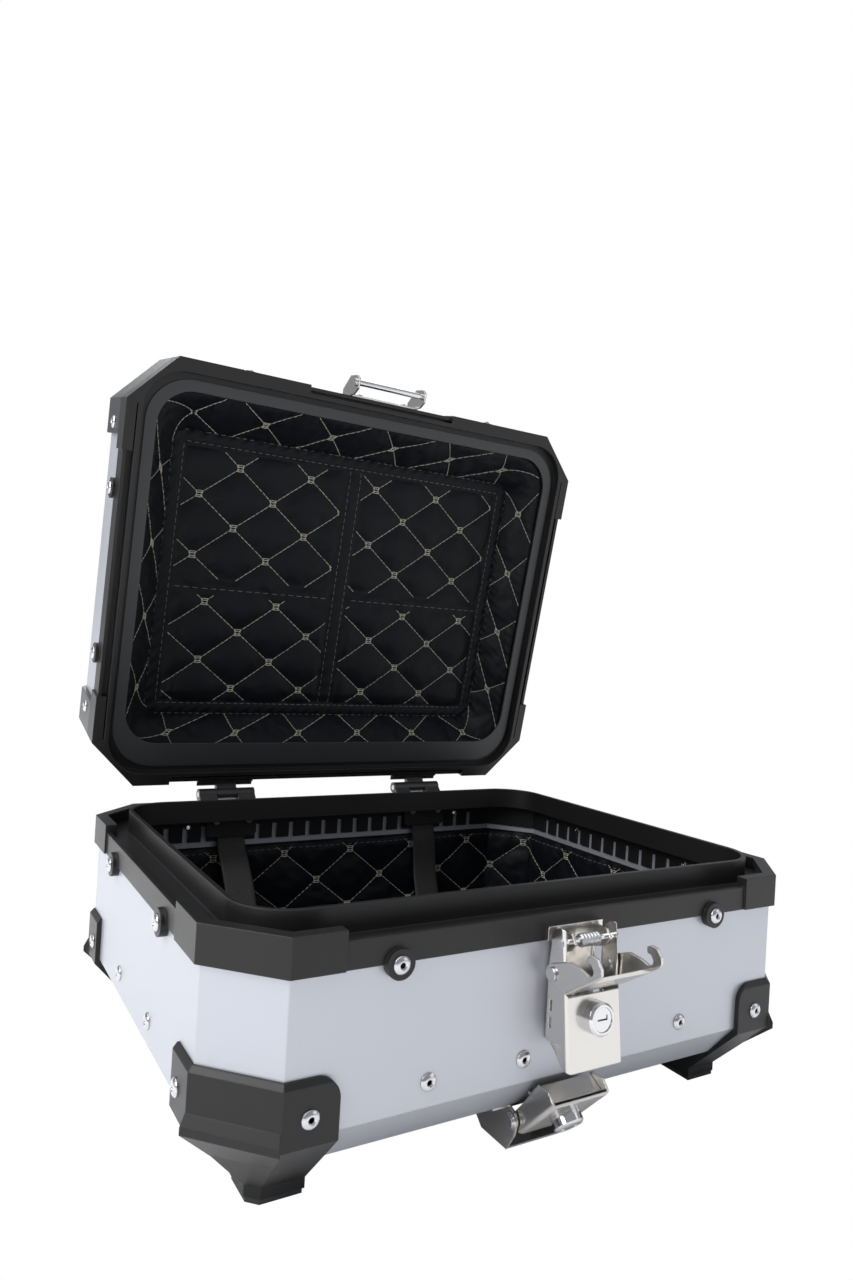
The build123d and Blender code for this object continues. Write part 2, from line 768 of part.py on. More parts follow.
def hinge_bolt(place_x, height, head_y):
    """A dome-headed bolt through the rear wall, with its nut outside."""
    nut_y = leaf_face_y
    inwards = Plane((place_x, head_y, height), x_dir=(1, 0, 0), z_dir=(0, -1, 0))
    with BuildPart(mode=Mode.PRIVATE) as bolt:
        with BuildSketch(inwards):
            Circle(3.8)
        extrude(amount=2.2, taper=25)
        with BuildSketch(inwards):
            Circle(bolt_radius)
        extrude(amount=head_y - nut_y - 3)
        with BuildSketch(Plane((place_x, nut_y, height), x_dir=(-1, 0, 0), z_dir=(0, 1, 0))):
            RegularPolygon(4, 6)
        extrude(amount=3)
    return bolt.part


with BuildPart() as hinge_bolts_case:
    for place_x in hinge_bolt_places:
        add(hinge_bolt(place_x, hinge_bolt_z, clamp_front_y))
hinge_bolts_case.part.label = "hinge_bolts_case"
export_step(hinge_bolts_case.part, "parts/hinge_bolts_case.step")

with BuildPart() as hinge_bolts_lid:
    for place_x in hinge_bolt_places:
        add(hinge_bolt(place_x, lid_bolt_z, inner_skirt_face_y))
save_open(hinge_bolts_lid, "hinge_bolts_lid", hinge_axis, lid_open_angle)

# ---------------------------------------------------------------- luggage straps
strap_top_z = 132.0
strap_rear_y = inner_skirt_face_y - 0.1 - strap_thickness / 2
strap_floor_z = floor_pad_high_z + 0.4 + strap_thickness / 2
strap_wall_y = rear_wall_y - sheet - 0.4 - liner_thickness - 0.4 - strap_thickness / 2
strap_routes = {
    "left": [
        (strap_rear_y, strap_top_z),
        (strap_rear_y, liner_top_z + 6),
        (strap_wall_y - 6, 110),
        (strap_wall_y - 38, 76),
        (strap_wall_y - 62, 44),
        (strap_wall_y - 76, strap_floor_z),
        (strap_wall_y - 150, strap_floor_z),
    ],
    "right": [
        (strap_rear_y, strap_top_z),
        (strap_rear_y, liner_top_z + 6),
        (strap_wall_y - 4, 110),
        (strap_wall_y - 7, 80),
        (strap_wall_y - 24, 44),
        (strap_wall_y - 38, strap_floor_z),
        (strap_wall_y - 118, strap_floor_z),
    ],
}
strap_bends = {"left": [4, 14, 40, 24, 10], "right": [4, 14, 30, 24, 10]}
buckle_length = 40.0
buckle_width = 33.0
buckle_height = 9.0

for side, centre_x in hinge_sides:
    with BuildPart() as strap:
        side_plane = Plane((centre_x, 0, 0), x_dir=(0, 1, 0), z_dir=(1, 0, 0))
        with BuildSketch(side_plane):
            with BuildLine() as strap_line:
                FilletPolyline(*strap_routes[side], radius=strap_bends[side])
            trace(line_width=strap_thickness)
        extrude(amount=strap_width / 2, both=True)
    strap.part.label = f"strap_{side}"
    export_step(strap.part, f"parts/strap_{side}.step")

    with BuildPart() as buckle:
        end_y = strap_routes[side][-1][0]
        with BuildSketch(Plane((centre_x, end_y - buckle_length / 2, floor_pad_high_z + 0.4))):
            RectangleRounded(buckle_width, buckle_length, 6)
        extrude(amount=buckle_height)
        fillet(buckle.edges().group_by(Axis.Z)[-1], 2.5)
        mouth = Plane((centre_x, end_y - buckle_length, strap_floor_z + 3), x_dir=(1, 0, 0), z_dir=(0, -1, 0))
        with BuildSketch(mouth):
            RectangleRounded(buckle_width - 9, 5, 1.5)
        extrude(amount=-22, mode=Mode.SUBTRACT)
    buckle.part.label = f"strap_buckle_{side}"
    export_step(buckle.part, f"parts/strap_buckle_{side}.step")

# ---------------------------------------------------------------- latch on the case
lever_ear_radius = 8.0
bracket_ear_half_width = 14.0
bracket_face_y = -(half_depth - skirt_inset) - plate
bracket_low_z = 74.0
bracket_high_z = 141.0
bracket_half_width = 16.0

with BuildPart() as latch_bracket:
    # back plate in front of the skirt and the wall
    with BuildSketch(Plane.XZ.offset(half_depth - skirt_inset)):
        with Locations((0, (bracket_low_z + bracket_high_z) / 2)):
            Rectangle(2 * bracket_half_width, bracket_high_z - bracket_low_z)
        with Locations((0, bracket_high_z - 4)):
            Rectangle(2 * lever_half_width, 8)
    extrude(amount=plate)
    # two ears that carry the pin
    for way in (-1, 1):
        side_profile(
            [
                (bracket_face_y, lever_pin_z - 9),
                (lever_pin_y - 1, lever_pin_z - 5),
                (lever_pin_y - 5, lever_pin_z),
                (lever_pin_y - 1, lever_pin_z + 5),
                (bracket_face_y, lever_pin_z + 5),
            ],
            plate / 2,
            centre_x=way * (bracket_ear_half_width - plate / 2),
        )
    cross_bar(lever_pin_y, lever_pin_z, 2.0, -30, 30, mode=Mode.SUBTRACT)
    with Locations(
        *[
            Plane((0, bracket_face_y, height), x_dir=(1, 0, 0), z_dir=(0, -1, 0)).location
            for height in (82.0, 104.0)
        ]
    ):
        Hole(rivet_shank, 6)
latch_bracket.part.label = "latch_bracket"
export_step(latch_bracket.part, "parts/latch_bracket.step")

bracket_rivets = rivet_group(
    [
        Plane((0, bracket_face_y, height), x_dir=(1, 0, 0), z_dir=(0, -1, 0))
        for height in (82.0, 104.0)
    ],
    3.4,
)
bracket_rivets.part.label = "latch_bracket_rivets"
export_step(bracket_rivets.part, "parts/latch_bracket_rivets.step")

with BuildPart() as latch_pin:
    cross_bar(lever_pin_y, lever_pin_z, 2.0, -lever_half_width - 0.2, lever_half_width + 0.2)
    for way in (-1, 1):
        start = way * (lever_half_width + 0.2)
        cross_bar(lever_pin_y, lever_pin_z, 2.6, min(start, start + way * 0.4), max(start, start + way * 0.4))
latch_pin.part.label = "latch_pin"
export_step(latch_pin.part, "parts/latch_pin.step")

# torsion spring beside the pin, drawn as a closely wound sleeve with two legs
with BuildPart() as latch_spring:
    cross_bar(lever_pin_y, lever_pin_z, 3.4, -7, 7)
    cross_bar(lever_pin_y, lever_pin_z, 2.1, -8, 8, mode=Mode.SUBTRACT)
    for coil in range(6):
        with Locations((-5.8 + 2.33 * coil, lever_pin_y, lever_pin_z)):
            Torus(3.3, 0.6, rotation=(0, 90, 0))
    cross_bar(lever_pin_y, lever_pin_z, 2.1, -8, 8, mode=Mode.SUBTRACT)
    with BuildSketch(Plane((6, lever_pin_y + 2.9, lever_pin_z))):
        Circle(0.6)
    extrude(amount=-16)
latch_spring.part.label = "latch_spring"
export_step(latch_spring.part, "parts/latch_spring.step")

# lever: folded cover with two cheeks that run up to the pin
lever_foot_y = -198.5
lever_foot_z = 66.0
lever_lip_y = -193.4
lever_lip_z = 106.5
lever_back_y = -177.0
lever_side = [
    (lever_back_y, 80.0),
    (-186.0, 74.0),
    (-191.5, 68.0),
    (lever_foot_y, lever_foot_z),
    (lever_lip_y, lever_lip_z),
    (-190.0, 110.5),
    (lever_pin_y - 4.5, lever_pin_z - 12),
    (lever_pin_y - lever_ear_radius + 0.4, lever_pin_z - 2),
    (lever_pin_y, lever_pin_z),
    (lever_pin_y + lever_ear_radius - 0.4, lever_pin_z - 2),
    (lever_back_y, lever_pin_z - 12),
]
lever_slope = math.degrees(math.atan2(lever_lip_y - lever_foot_y, lever_lip_z - lever_foot_z))
lever_normal = Vector(0, -math.cos(math.radians(lever_slope)), math.sin(math.radians(lever_slope)))
lever_up = Vector(0, math.sin(math.radians(lever_slope)), math.cos(math.radians(lever_slope)))
barrel_seat = Vector(0, lever_foot_y, lever_foot_z) + lever_up * (barrel_z - lever_foot_z)
barrel_plane = Plane(barrel_seat, x_dir=(1, 0, 0), z_dir=lever_normal)

with BuildPart() as latch_lever:
    side_profile(lever_side, lever_half_width)
    cross_bar(lever_pin_y, lever_pin_z, lever_ear_radius, -lever_half_width, lever_half_width)
    add(
        rounded_front(barrel_seat, lever_up, lever_normal, lever_half_width, 3.0),
        mode=Mode.INTERSECT,
    )
    # hollow out between the cheeks, behind the front plate
    with BuildSketch(Plane.YZ):
        Polygon(
            (lever_back_y + 20, 40.0),
            (lever_foot_y + plate + 0.2 - 3, 40.0),
            (lever_foot_y + plate + 0.2, lever_foot_z),
            (lever_lip_y + plate + 0.2, lever_lip_z),
            (lever_lip_y + plate + 0.2, lever_lip_z + 0.01),
            (lever_lip_y - 20, lever_lip_z + 0.01),
            (lever_lip_y - 20, 160.0),
            (lever_back_y + 20, 160.0),
            align=None,
        )
    extrude(amount=lever_half_width - plate, both=True, mode=Mode.SUBTRACT)
    cross_bar(
        lever_pin_y, lever_pin_z, 2.0 + running_gap, -30, 30, mode=Mode.SUBTRACT
    )
    cross_bar(claw_pin_y, claw_pin_z, 2.5, -30, 30, mode=Mode.SUBTRACT)
    # hole for the lock barrel and the small slots in the cheeks
    with BuildSketch(barrel_plane.offset(5)):
        Circle(barrel_radius - 1.5)
    extrude(amount=-12, mode=Mode.SUBTRACT)
    for height in (98.0, 88.5):
        with Locations((0, lever_back_y - 3.5, height)):
            Box(60, 2.0, 6.0, mode=Mode.SUBTRACT)
latch_lever.part.label = "latch_lever"
export_step(latch_lever.part, "parts/latch_lever.step")

with BuildPart() as latch_barrel:
    with BuildSketch(barrel_plane):
        Circle(barrel_radius)
    extrude(amount=barrel_height)
    chamfer(latch_barrel.edges().filter_by(GeomType.CIRCLE).sort_by(Axis.Y)[0], 1.2)
    with BuildSketch(barrel_plane):
        Circle(barrel_radius - 1.5)
    extrude(amount=-9)
    with BuildSketch(barrel_plane.offset(barrel_height)):
        Circle(plug_radius + running_gap)
    extrude(amount=-30, mode=Mode.SUBTRACT)
latch_barrel.part.label = "latch_barrel"
export_step(latch_barrel.part, "parts/latch_barrel.step")


def lock_plug(face_plane, depth):
    """The turning core of a lock, with its keyway slot."""
    with BuildPart(mode=Mode.PRIVATE) as plug:
        with BuildSketch(face_plane.offset(-0.6)):
            Circle(plug_radius)
        extrude(amount=-depth)
        with BuildSketch(face_plane):
            Rectangle(7.5, 0.9)
            with Locations((3.3, 1.0)):
                Rectangle(0.9, 2.6)
        extrude(amount=-4, mode=Mode.SUBTRACT)
    return plug.part


def lock_cam(back_plane, reach, width, thickness):
    """The tongue on the back of a lock plug."""
    with BuildPart(mode=Mode.PRIVATE) as cam:
        with BuildSketch(back_plane):
            Circle(plug_radius - 1)
            with Locations((0, reach / 2)):
                Rectangle(width, reach)
        extrude(amount=-thickness)
    return cam.part


plug_depth = barrel_height + 9.5
with BuildPart() as latch_plug:
    add(lock_plug(barrel_plane.offset(barrel_height), plug_depth - 0.6))
latch_plug.part.label = "latch_plug"
export_step(latch_plug.part, "parts/latch_plug.step")

with BuildPart() as latch_cam:
    add(lock_cam(barrel_plane.offset(-9.5), 13.0, 6.0, 2.0))
latch_cam.part.label = "latch_cam"
export_step(latch_cam.part, "parts/latch_cam.step")

with BuildPart() as claw_rivets:
    for way in (-1, 1):
        inner = way * (lever_half_width - plate - 0.8)
        outer = way * (claw_half_width + 0.2)
        cross_bar(claw_pin_y, claw_pin_z, 2.5, min(inner, outer), max(inner, outer))
        head = way * (claw_half_width + 1.6)
        cross_bar(claw_pin_y, claw_pin_z, 4.0, min(outer, head), max(outer, head))
        tail = way * (lever_half_width - plate - 0.1)
        cross_bar(claw_pin_y, claw_pin_z, 3.6, min(inner, tail), max(inner, tail))
claw_rivets.part.label = "claw_rivets"
export_step(claw_rivets.part, "parts/claw_rivets.step")

# claw, drawn shut: two hooked cheeks joined by a web in front
hook_inner = catch_pin_radius + 0.9
claw_web_low = (claw_pin_y - 12.0, claw_pin_z + 6.5)
claw_web_high = (claw_pin_y - 8.0, claw_pin_z + 38.0)
claw_cheek_inner = lever_half_width + 0.7
claw_web_seat = Vector(0, *claw_web_low)
claw_web_up = (Vector(0, *claw_web_high) - claw_web_seat).normalized()
claw_web_normal = Vector(0, -claw_web_up.Z, claw_web_up.Y)

with BuildPart() as latch_claw:
    side_profile(
        [
            (claw_pin_y + 5.5, claw_pin_z + 1),
            (claw_pin_y + 4.0, claw_pin_z + 18),
            (catch_y + 0.8, catch_z - hook_inner - 2.6),
            (catch_y - hook_inner, catch_z - 1.0),
            (catch_y - hook_inner, catch_z + 2.0),
            (catch_y - 1.5, catch_z + hook_inner + 0.2),
            (catch_y + 2.0, catch_z + hook_inner - 0.4),
            (catch_y + 3.2, catch_z + 0.6),
            (catch_y + 6.4, catch_z + 1.6),
            (catch_y + 6.6, catch_z + 5.0),
            (catch_y + 4.0, catch_z + 9.0),
            (catch_y - 1.0, catch_z + 10.2),
            (claw_web_high[0] + 2, catch_z + 9.0),
            claw_web_high,
            claw_web_low,
            (claw_pin_y - 6.0, claw_pin_z - 1.5),
        ],
        claw_half_width,
    )
    cross_bar(claw_pin_y, claw_pin_z, 5.8, -claw_half_width, claw_half_width)
    add(
        rounded_front(claw_web_seat, claw_web_up, claw_web_normal, claw_half_width, 3.0),
        mode=Mode.INTERSECT,
    )
    with BuildSketch(Plane.YZ):
        Polygon(
            (claw_web_low[0] + plate + 0.1, claw_web_low[1] - 30),
            (claw_web_low[0] + plate + 0.1, claw_web_low[1]),
            (claw_web_high[0] + plate, claw_web_high[1] - 5),
            (claw_web_high[0] - 30, claw_web_high[1] - 5),
            (claw_web_high[0] - 30, claw_web_high[1] + 40),
            (claw_pin_y + 40, claw_web_high[1] + 40),
            (claw_pin_y + 40, claw_web_low[1] - 30),
            align=None,
        )
    extrude(amount=claw_cheek_inner, both=True, mode=Mode.SUBTRACT)
    with BuildSketch(Plane.YZ):
        Polygon(
            (claw_pin_y - 40, claw_pin_z - 30),
            (claw_pin_y + 40, claw_pin_z - 30),
            (claw_pin_y + 40, claw_web_low[1] - 0.01),
            (claw_pin_y - 40, claw_web_low[1] - 0.01),
            align=None,
        )
    extrude(amount=claw_cheek_inner, both=True, mode=Mode.SUBTRACT)
    cross_bar(claw_pin_y, claw_pin_z, 2.5 + running_gap, -40, 40, mode=Mode.SUBTRACT)
save_open(latch_claw, "latch_claw", claw_axis, claw_open_angle)

# ---------------------------------------------------------------- mount lock under the front
mount_base_low_z = 0.8
mount_cheek_side = [
    (-118.0, floor_z),
    (-118.0, 6.0),
    (-124.0, mount_base_low_z),
    (-150.0, mount_base_low_z),
    (mount_pin_y - 3.0, 12.0),
    (mount_pin_y - 5.0, mount_pin_z),
    (mount_pin_y - 3.0, 25.0),
    (-151.6, floor_z - 1.0),
    (-151.6, floor_z),
]
mount_flange_low_z = floor_z - plate

with BuildPart() as mount_bracket:
    side_profile(mount_cheek_side, mount_bracket_half_width)
    cross_bar(
        mount_pin_y, mount_pin_z, 5.0, -mount_bracket_half_width, mount_bracket_half_width
    )
    with Locations((0, -140, 15.0 + mount_base_low_z + plate)):
        Box(2 * (mount_bracket_half_width - plate), 60, 30, mode=Mode.SUBTRACT)
    with Locations((0, -135, mount_flange_low_z + plate / 2)):
        Box(2 * (mount_bracket_half_width + 12), 32, plate)
    cross_bar(mount_pin_y, mount_pin_z, 2.5, -40, 40, mode=Mode.SUBTRACT)
    drill_floor(mount_rivet_places, rivet_shank)
mount_bracket.part.label = "mount_bracket"
export_step(mount_bracket.part, "parts/mount_bracket.step")

with BuildPart() as mount_pin:
    cross_bar(
        mount_pin_y, mount_pin_z, 2.5, -mount_bracket_half_width - 0.2, mount_bracket_half_width + 0.2
    )
    for way in (-1, 1):
        start = way * (mount_bracket_half_width + 0.2)
        for radius, reach in ((5.2, 1.2), (4.2, 2.6)):
            cross_bar(
                mount_pin_y,
                mount_pin_z,
                radius,
                min(start, start + way * reach),
                max(start, start + way * reach),
            )
mount_pin.part.label = "mount_pin"
export_step(mount_pin.part, "parts/mount_pin.step")

mount_top_y = -189.1
mount_top_z = 43.2
mount_foot_y = -160.0
mount_foot_z = 14.0
mount_side = [
    (-161.5, 33.5),
    (-173.5, 49.5),
    (-183.0, 49.5),
    (mount_top_y, mount_top_z),
    (mount_foot_y, mount_foot_z),
    (mount_pin_y - 2, mount_pin_z - 5.6),
    (mount_pin_y + 4.6, mount_pin_z - 2),
    (mount_pin_y + 4.6, mount_pin_z + 2),
    (mount_pin_y, mount_pin_z + 5.0),
]
mount_slope = math.atan2(mount_foot_y - mount_top_y, mount_top_z - mount_foot_z)
mount_normal = Vector(0, -math.cos(mount_slope), -math.sin(mount_slope))
mount_down = Vector(0, math.sin(mount_slope), -math.cos(mount_slope))
mount_seat = Vector(0, mount_top_y, mount_top_z) + mount_down * 21.0
mount_barrel_plane = Plane(mount_seat, x_dir=(1, 0, 0), z_dir=mount_normal)

with BuildPart() as mount_lever:
    side_profile(mount_side, mount_half_width)
    add(
        rounded_front(mount_seat, mount_down, mount_normal, mount_half_width, 3.0),
        mode=Mode.INTERSECT,
    )
    inner_seat = mount_seat - mount_normal * (plate + 0.05)
    inner_top = inner_seat - mount_down * 60
    inner_foot = inner_seat + mount_down * 60
    with BuildSketch(Plane.YZ):
        Polygon(
            (inner_top.Y, inner_top.Z),
            (inner_foot.Y, inner_foot.Z),
            (inner_foot.Y + 60, inner_foot.Z + 60),
            (inner_top.Y + 60, inner_top.Z + 60),
            align=None,
        )
    extrude(amount=mount_half_width - plate, both=True, mode=Mode.SUBTRACT)
    cross_bar(mount_pin_y, mount_pin_z, 2.5 + running_gap, -40, 40, mode=Mode.SUBTRACT)
    with BuildSketch(mount_barrel_plane.offset(5)):
        Circle(barrel_radius - 1.5)
    extrude(amount=-12, mode=Mode.SUBTRACT)
mount_lever.part.label = "mount_lever"
export_step(mount_lever.part, "parts/mount_lever.step")

with BuildPart() as mount_barrel:
    with BuildSketch(mount_barrel_plane):
        Circle(barrel_radius)
    extrude(amount=barrel_height)
    chamfer(mount_barrel.edges().filter_by(GeomType.CIRCLE).sort_by(Axis.Y)[0], 1.2)
    with BuildSketch(mount_barrel_plane):
        Circle(barrel_radius - 1.5)
    extrude(amount=-7)
    with BuildSketch(mount_barrel_plane.offset(barrel_height)):
        Circle(plug_radius + running_gap)
    extrude(amount=-30, mode=Mode.SUBTRACT)
mount_barrel.part.label = "mount_barrel"
export_step(mount_barrel.part, "parts/mount_barrel.step")

with BuildPart() as mount_plug:
    add(lock_plug(mount_barrel_plane.offset(barrel_height), barrel_height + 6.8))
    add(lock_cam(mount_barrel_plane.offset(-7.4), 8.0, 5.0, 1.6))
mount_plug.part.label = "mount_plug"
export_step(mount_plug.part, "parts/mount_plug.step")

# bent jaw plate between the lever's cheeks, which grips the rack plate
jaw_half_width = mount_half_width - plate - 0.3
with BuildPart() as mount_jaw:
    with BuildSketch(Plane.YZ):
        with BuildLine() as jaw_line:
            Polyline((-183.0, 42.0), (-173.0, 47.2), (-167.5, 40.5), (-162.5, 40.0))
        trace(line_width=plate)
    extrude(amount=jaw_half_width, both=True)
mount_jaw.part.label = "mount_jaw"
export_step(mount_jaw.part, "parts/mount_jaw.step")

# hooks under the rear of the floor, which slide under the rack plate's edge
hook_sides = (("left", -hook_x), ("right", hook_x))
hook_line = [(90.0, floor_z - 1.5), (128.0, floor_z - 1.5), (128.0, 6.0), (104.0, 6.0)]
for side, centre_x in hook_sides:
    with BuildPart() as rear_hook:
        with BuildSketch(Plane((centre_x, 0, 0), x_dir=(0, 1, 0), z_dir=(1, 0, 0))):
            with BuildLine() as hook_bend:
                FilletPolyline(*hook_line, radius=4)
            trace(line_width=3.0)
        extrude(amount=15, both=True)
        drill_floor(hook_bolt_places, hook_bolt_radius)
    rear_hook.part.label = f"rear_hook_{side}"
    export_step(rear_hook.part, f"parts/rear_hook_{side}.step")

# rivets of the mount bracket and bolts of the rear hooks, through the floor
mount_rivets = rivet_group(
    [
        Plane((place_x, place_y, mount_flange_low_z), x_dir=(1, 0, 0), z_dir=(0, 0, -1))
        for place_x, place_y in mount_rivet_places
    ],
    plate + sheet,
)
mount_rivets.part.label = "mount_bracket_rivets"
export_step(mount_rivets.part, "parts/mount_bracket_rivets.step")

with BuildPart() as hook_bolts:
    for place_x, place_y in hook_bolt_places:
        with BuildSketch(Plane((place_x, place_y, floor_z - 3.0), x_dir=(1, 0, 0), z_dir=(0, 0, -1))):
            RegularPolygon(5, 6)
        extrude(amount=3.0)
        with BuildSketch(Plane.XY.offset(floor_z - 4)):
            with Locations((place_x, place_y)):
                Circle(hook_bolt_radius)
        extrude(amount=4 + sheet)
hook_bolts.part.label = "hook_bolts"
export_step(hook_bolts.part, "parts/hook_bolts.step")

# ---------------------------------------------------------------- lid, drawn shut
lid_shell_low_z = lid_web_z + web_thickness
lid_block_end_x = 70.0
lid_block_end_y = 98.0
lid_plane_z = rim_plane_z + lid_gap
lid_straight_z = lid_plane_z + 3.0

with BuildPart() as lid_shell:
    octagon_slab(wall_inset, lid_shell_low_z, lid_bevel_z)
    octagon_slope(wall_inset, lid_bevel_z, wall_inset + lid_bevel_inset, lid_top_z)
    octagon_slab(wall_inset + sheet, lid_shell_low_z - 1, lid_bevel_z - sheet / 2, mode=Mode.SUBTRACT)
    octagon_slope(
        wall_inset + sheet,
        lid_bevel_z - sheet / 2,
        wall_inset + lid_bevel_inset + sheet / 2,
        lid_top_z - sheet,
        mode=Mode.SUBTRACT,
    )
    drill(lid_rim_rivet_planes, rivet_shank, 12)
    drill(guard_rivet_planes, rivet_shank, 8)
    drill(catch_rivet_planes, rivet_shank, 12)
    drill_back(hinge_bolt_places, lid_bolt_z, bolt_radius)
save_open(lid_shell, "lid_shell", hinge_axis, lid_open_angle)

opening_front_y = -152.0
opening_rear_y = 152.0
opening_half_width = 191.0
opening_corner = 30.0
ridge_half_width = 206.0
ridge_half_depth = 168.0
ridge_corner = 36.0
ridge_width = 3.5

with BuildPart() as lid_rim:
    octagon_slab(skirt_inset, lid_straight_z, lid_skirt_top_z)
    octagon_slab(wall_inset + 1, lid_straight_z - 1, lid_web_z, mode=Mode.SUBTRACT)
    octagon_slab(wall_inset, lid_shell_low_z, lid_skirt_top_z + 1, mode=Mode.SUBTRACT)
    add(
        corner_blocks(
            lid_block_end_x, lid_block_end_y, lid_plane_z, lid_shell_low_z, lid_skirt_top_z, "above"
        )
    )
    # ridge that runs round the underside, outside the lip of the case
    rounded_slab(
        ridge_half_width, -ridge_half_depth, ridge_half_depth, ridge_corner, lid_plane_z, lid_web_z + 1
    )
    rounded_slab(
        ridge_half_width - ridge_width,
        ridge_width - ridge_half_depth,
        ridge_half_depth - ridge_width,
        ridge_corner - ridge_width,
        lid_plane_z - 1,
        lid_web_z,
        mode=Mode.SUBTRACT,
    )
    rounded_slab(
        opening_half_width,
        opening_front_y,
        opening_rear_y,
        opening_corner,
        lid_plane_z - 1,
        lid_shell_low_z + 1,
        mode=Mode.SUBTRACT,
    )
    add(
        inner_skirt(
            lid_shell_low_z,
            lid_skirt_top_z + 8,
            lid_skirt_top_z - 1,
            lid_skirt_top_z + 9,
        )
    )
    for place in lid_rim_rivet_planes:
        with BuildSketch(place):
            Circle(boss_radius)
        extrude(amount=-(boss_standout + wall_inset))
    drill(lid_rim_rivet_planes, rivet_shank, 14)
    drill(catch_rivet_planes, rivet_shank, 12)
    drill_back(hinge_bolt_places, lid_bolt_z, bolt_radius)
save_open(lid_rim, "lid_rim", hinge_axis, lid_open_angle)

# rubber seal that lands on the lip of the case
seal_low_z = lip_top_z + 0.4
with BuildPart() as lid_seal:
    rounded_slab(199.0, -160.0, 160.0, 36.0, seal_low_z, lid_web_z)
    rounded_slab(
        opening_half_width - 1,
        opening_front_y + 1,
        opening_rear_y - 12,
        opening_corner - 1,
        seal_low_z - 1,
        lid_web_z + 1,
        mode=Mode.SUBTRACT,
    )
save_open(lid_seal, "lid_seal", hinge_axis, lid_open_angle)

# quilted lining of the lid: four sloping sides and a flat panel
panel_half_x = 168.0
panel_half_y = 122.0
panel_z = 195.0
panel_corner = 14.0
lining_low_z = lid_shell_low_z + 0.2


def lining_slope(grow, low, high, mode=Mode.ADD):
    """The funnel-shaped space between the lid's opening and its panel."""
    with BuildSketch(Plane.XY.offset(low)) as mouth:
        RectangleRounded(2 * (opening_half_width + grow), 2 * (opening_rear_y + grow), opening_corner)
    with BuildSketch(Plane.XY.offset(high)) as throat:
        RectangleRounded(2 * (panel_half_x + grow), 2 * (panel_half_y + grow), panel_corner)
    loft(sections=[mouth.sketch.face(), throat.sketch.face()], ruled=True, mode=mode)


with BuildPart() as lid_liner_sides:
    lining_slope(liner_thickness, lining_low_z, panel_z)
    lining_slope(0, lining_low_z, panel_z, mode=Mode.SUBTRACT)
save_open(lid_liner_sides, "lid_liner_sides", hinge_axis, lid_open_angle)

with BuildPart() as lid_liner_panel:
    rounded_slab(
        panel_half_x + liner_thickness,
        -panel_half_y - liner_thickness,
        panel_half_y + liner_thickness,
        panel_corner,
        panel_z + 0.2,
        panel_z + 0.2 + liner_thickness,
    )
save_open(lid_liner_panel, "lid_liner_panel", hinge_axis, lid_open_angle)

# corner guards of the lid
guard_low_z = lid_skirt_top_z + 0.5
guard_face = 3.5
guard_lap = 22.0            # how far the guard laps over the lid's top


def guard_plan(inset):
    """Plan of one guard, for the front right corner."""
    outline = octagon_points(inset)
    return [
        (shoe_end_x + 1, outline[0][1]),
        outline[0],
        outline[1],
        (outline[1][0], -shoe_end_y - 1),
        (shoe_end_x + 1, -shoe_end_y - 1),
    ]


with BuildPart() as guard:
    with BuildSketch(Plane.XY.offset(guard_low_z)):
        Polygon(*guard_plan(wall_inset - guard_face), align=None)
    extrude(amount=lid_bevel_z + 1 - guard_low_z)
    with BuildSketch(Plane.XY.offset(lid_bevel_z + 1)):
        Polygon(*guard_plan(wall_inset - guard_face), align=None)
    with BuildSketch(Plane.XY.offset(lid_top_z + guard_face)):
        Polygon(*guard_plan(wall_inset - guard_face + lid_bevel_inset + 1), align=None)
    loft(ruled=True)
    # rounded lower corners of the two flanges
    for seen_from, flange_end in ((front_side, shoe_end_x), (right_side, shoe_end_y)):
        with BuildSketch(seen_from):
            with Locations((flange_end + flange_round / 2, guard_low_z + flange_round / 2)):
                Rectangle(flange_round + 0.02, flange_round + 0.02)
            with Locations((flange_end + flange_round, guard_low_z + flange_round)):
                Circle(flange_round, mode=Mode.SUBTRACT)
        extrude(amount=-30, mode=Mode.SUBTRACT)
    # the lap on the lid's top is a triangle across the corner
    inner_corner = octagon_points(wall_inset + lid_bevel_inset + guard_lap)
    with BuildSketch(Plane.XY.offset(lid_top_z)):
        Polygon(
            (inner_corner[0][0] - 60, inner_corner[0][1] - 8),
            (inner_corner[0][0] - 6, inner_corner[0][1] - 8),
            (inner_corner[1][0] - 8, inner_corner[1][1] - 6),
            (inner_corner[1][0] - 8, inner_corner[1][1] + 90),
            (inner_corner[0][0] - 60, inner_corner[1][1] + 90),
            align=None,
        )
    extrude(amount=10, mode=Mode.SUBTRACT)
    with BuildPart(mode=Mode.PRIVATE) as lid_envelope:
        octagon_slab(wall_inset, lid_shell_low_z, lid_bevel_z)
        octagon_slope(wall_inset, lid_bevel_z, wall_inset + lid_bevel_inset, lid_top_z)
    add(lid_envelope.part, mode=Mode.SUBTRACT)
    drill(
        [
            wall_plane("front", shoe_rivet_x, guard_rivet_z, wall_inset - guard_face),
            wall_plane("right", -shoe_rivet_y, guard_rivet_z, wall_inset - guard_face),
        ],
        rivet_shank,
        6,
    )

for corner, flip_x, flip_y in corners:
    with BuildPart() as corner_guard:
        add(at_corner(guard.part, flip_x, flip_y))
    save_open(corner_guard, f"lid_guard_{corner}", hinge_axis, lid_open_angle)

guard_rivets = rivet_group(guard_rivet_planes, guard_face + sheet)
save_open(guard_rivets, "lid_guard_rivets", hinge_axis, lid_open_angle)

lid_rim_rivets = rivet_group(lid_rim_rivet_planes, boss_standout + wall_inset + sheet + 2)
save_open(lid_rim_rivets, "lid_rim_rivets", hinge_axis, lid_open_angle)

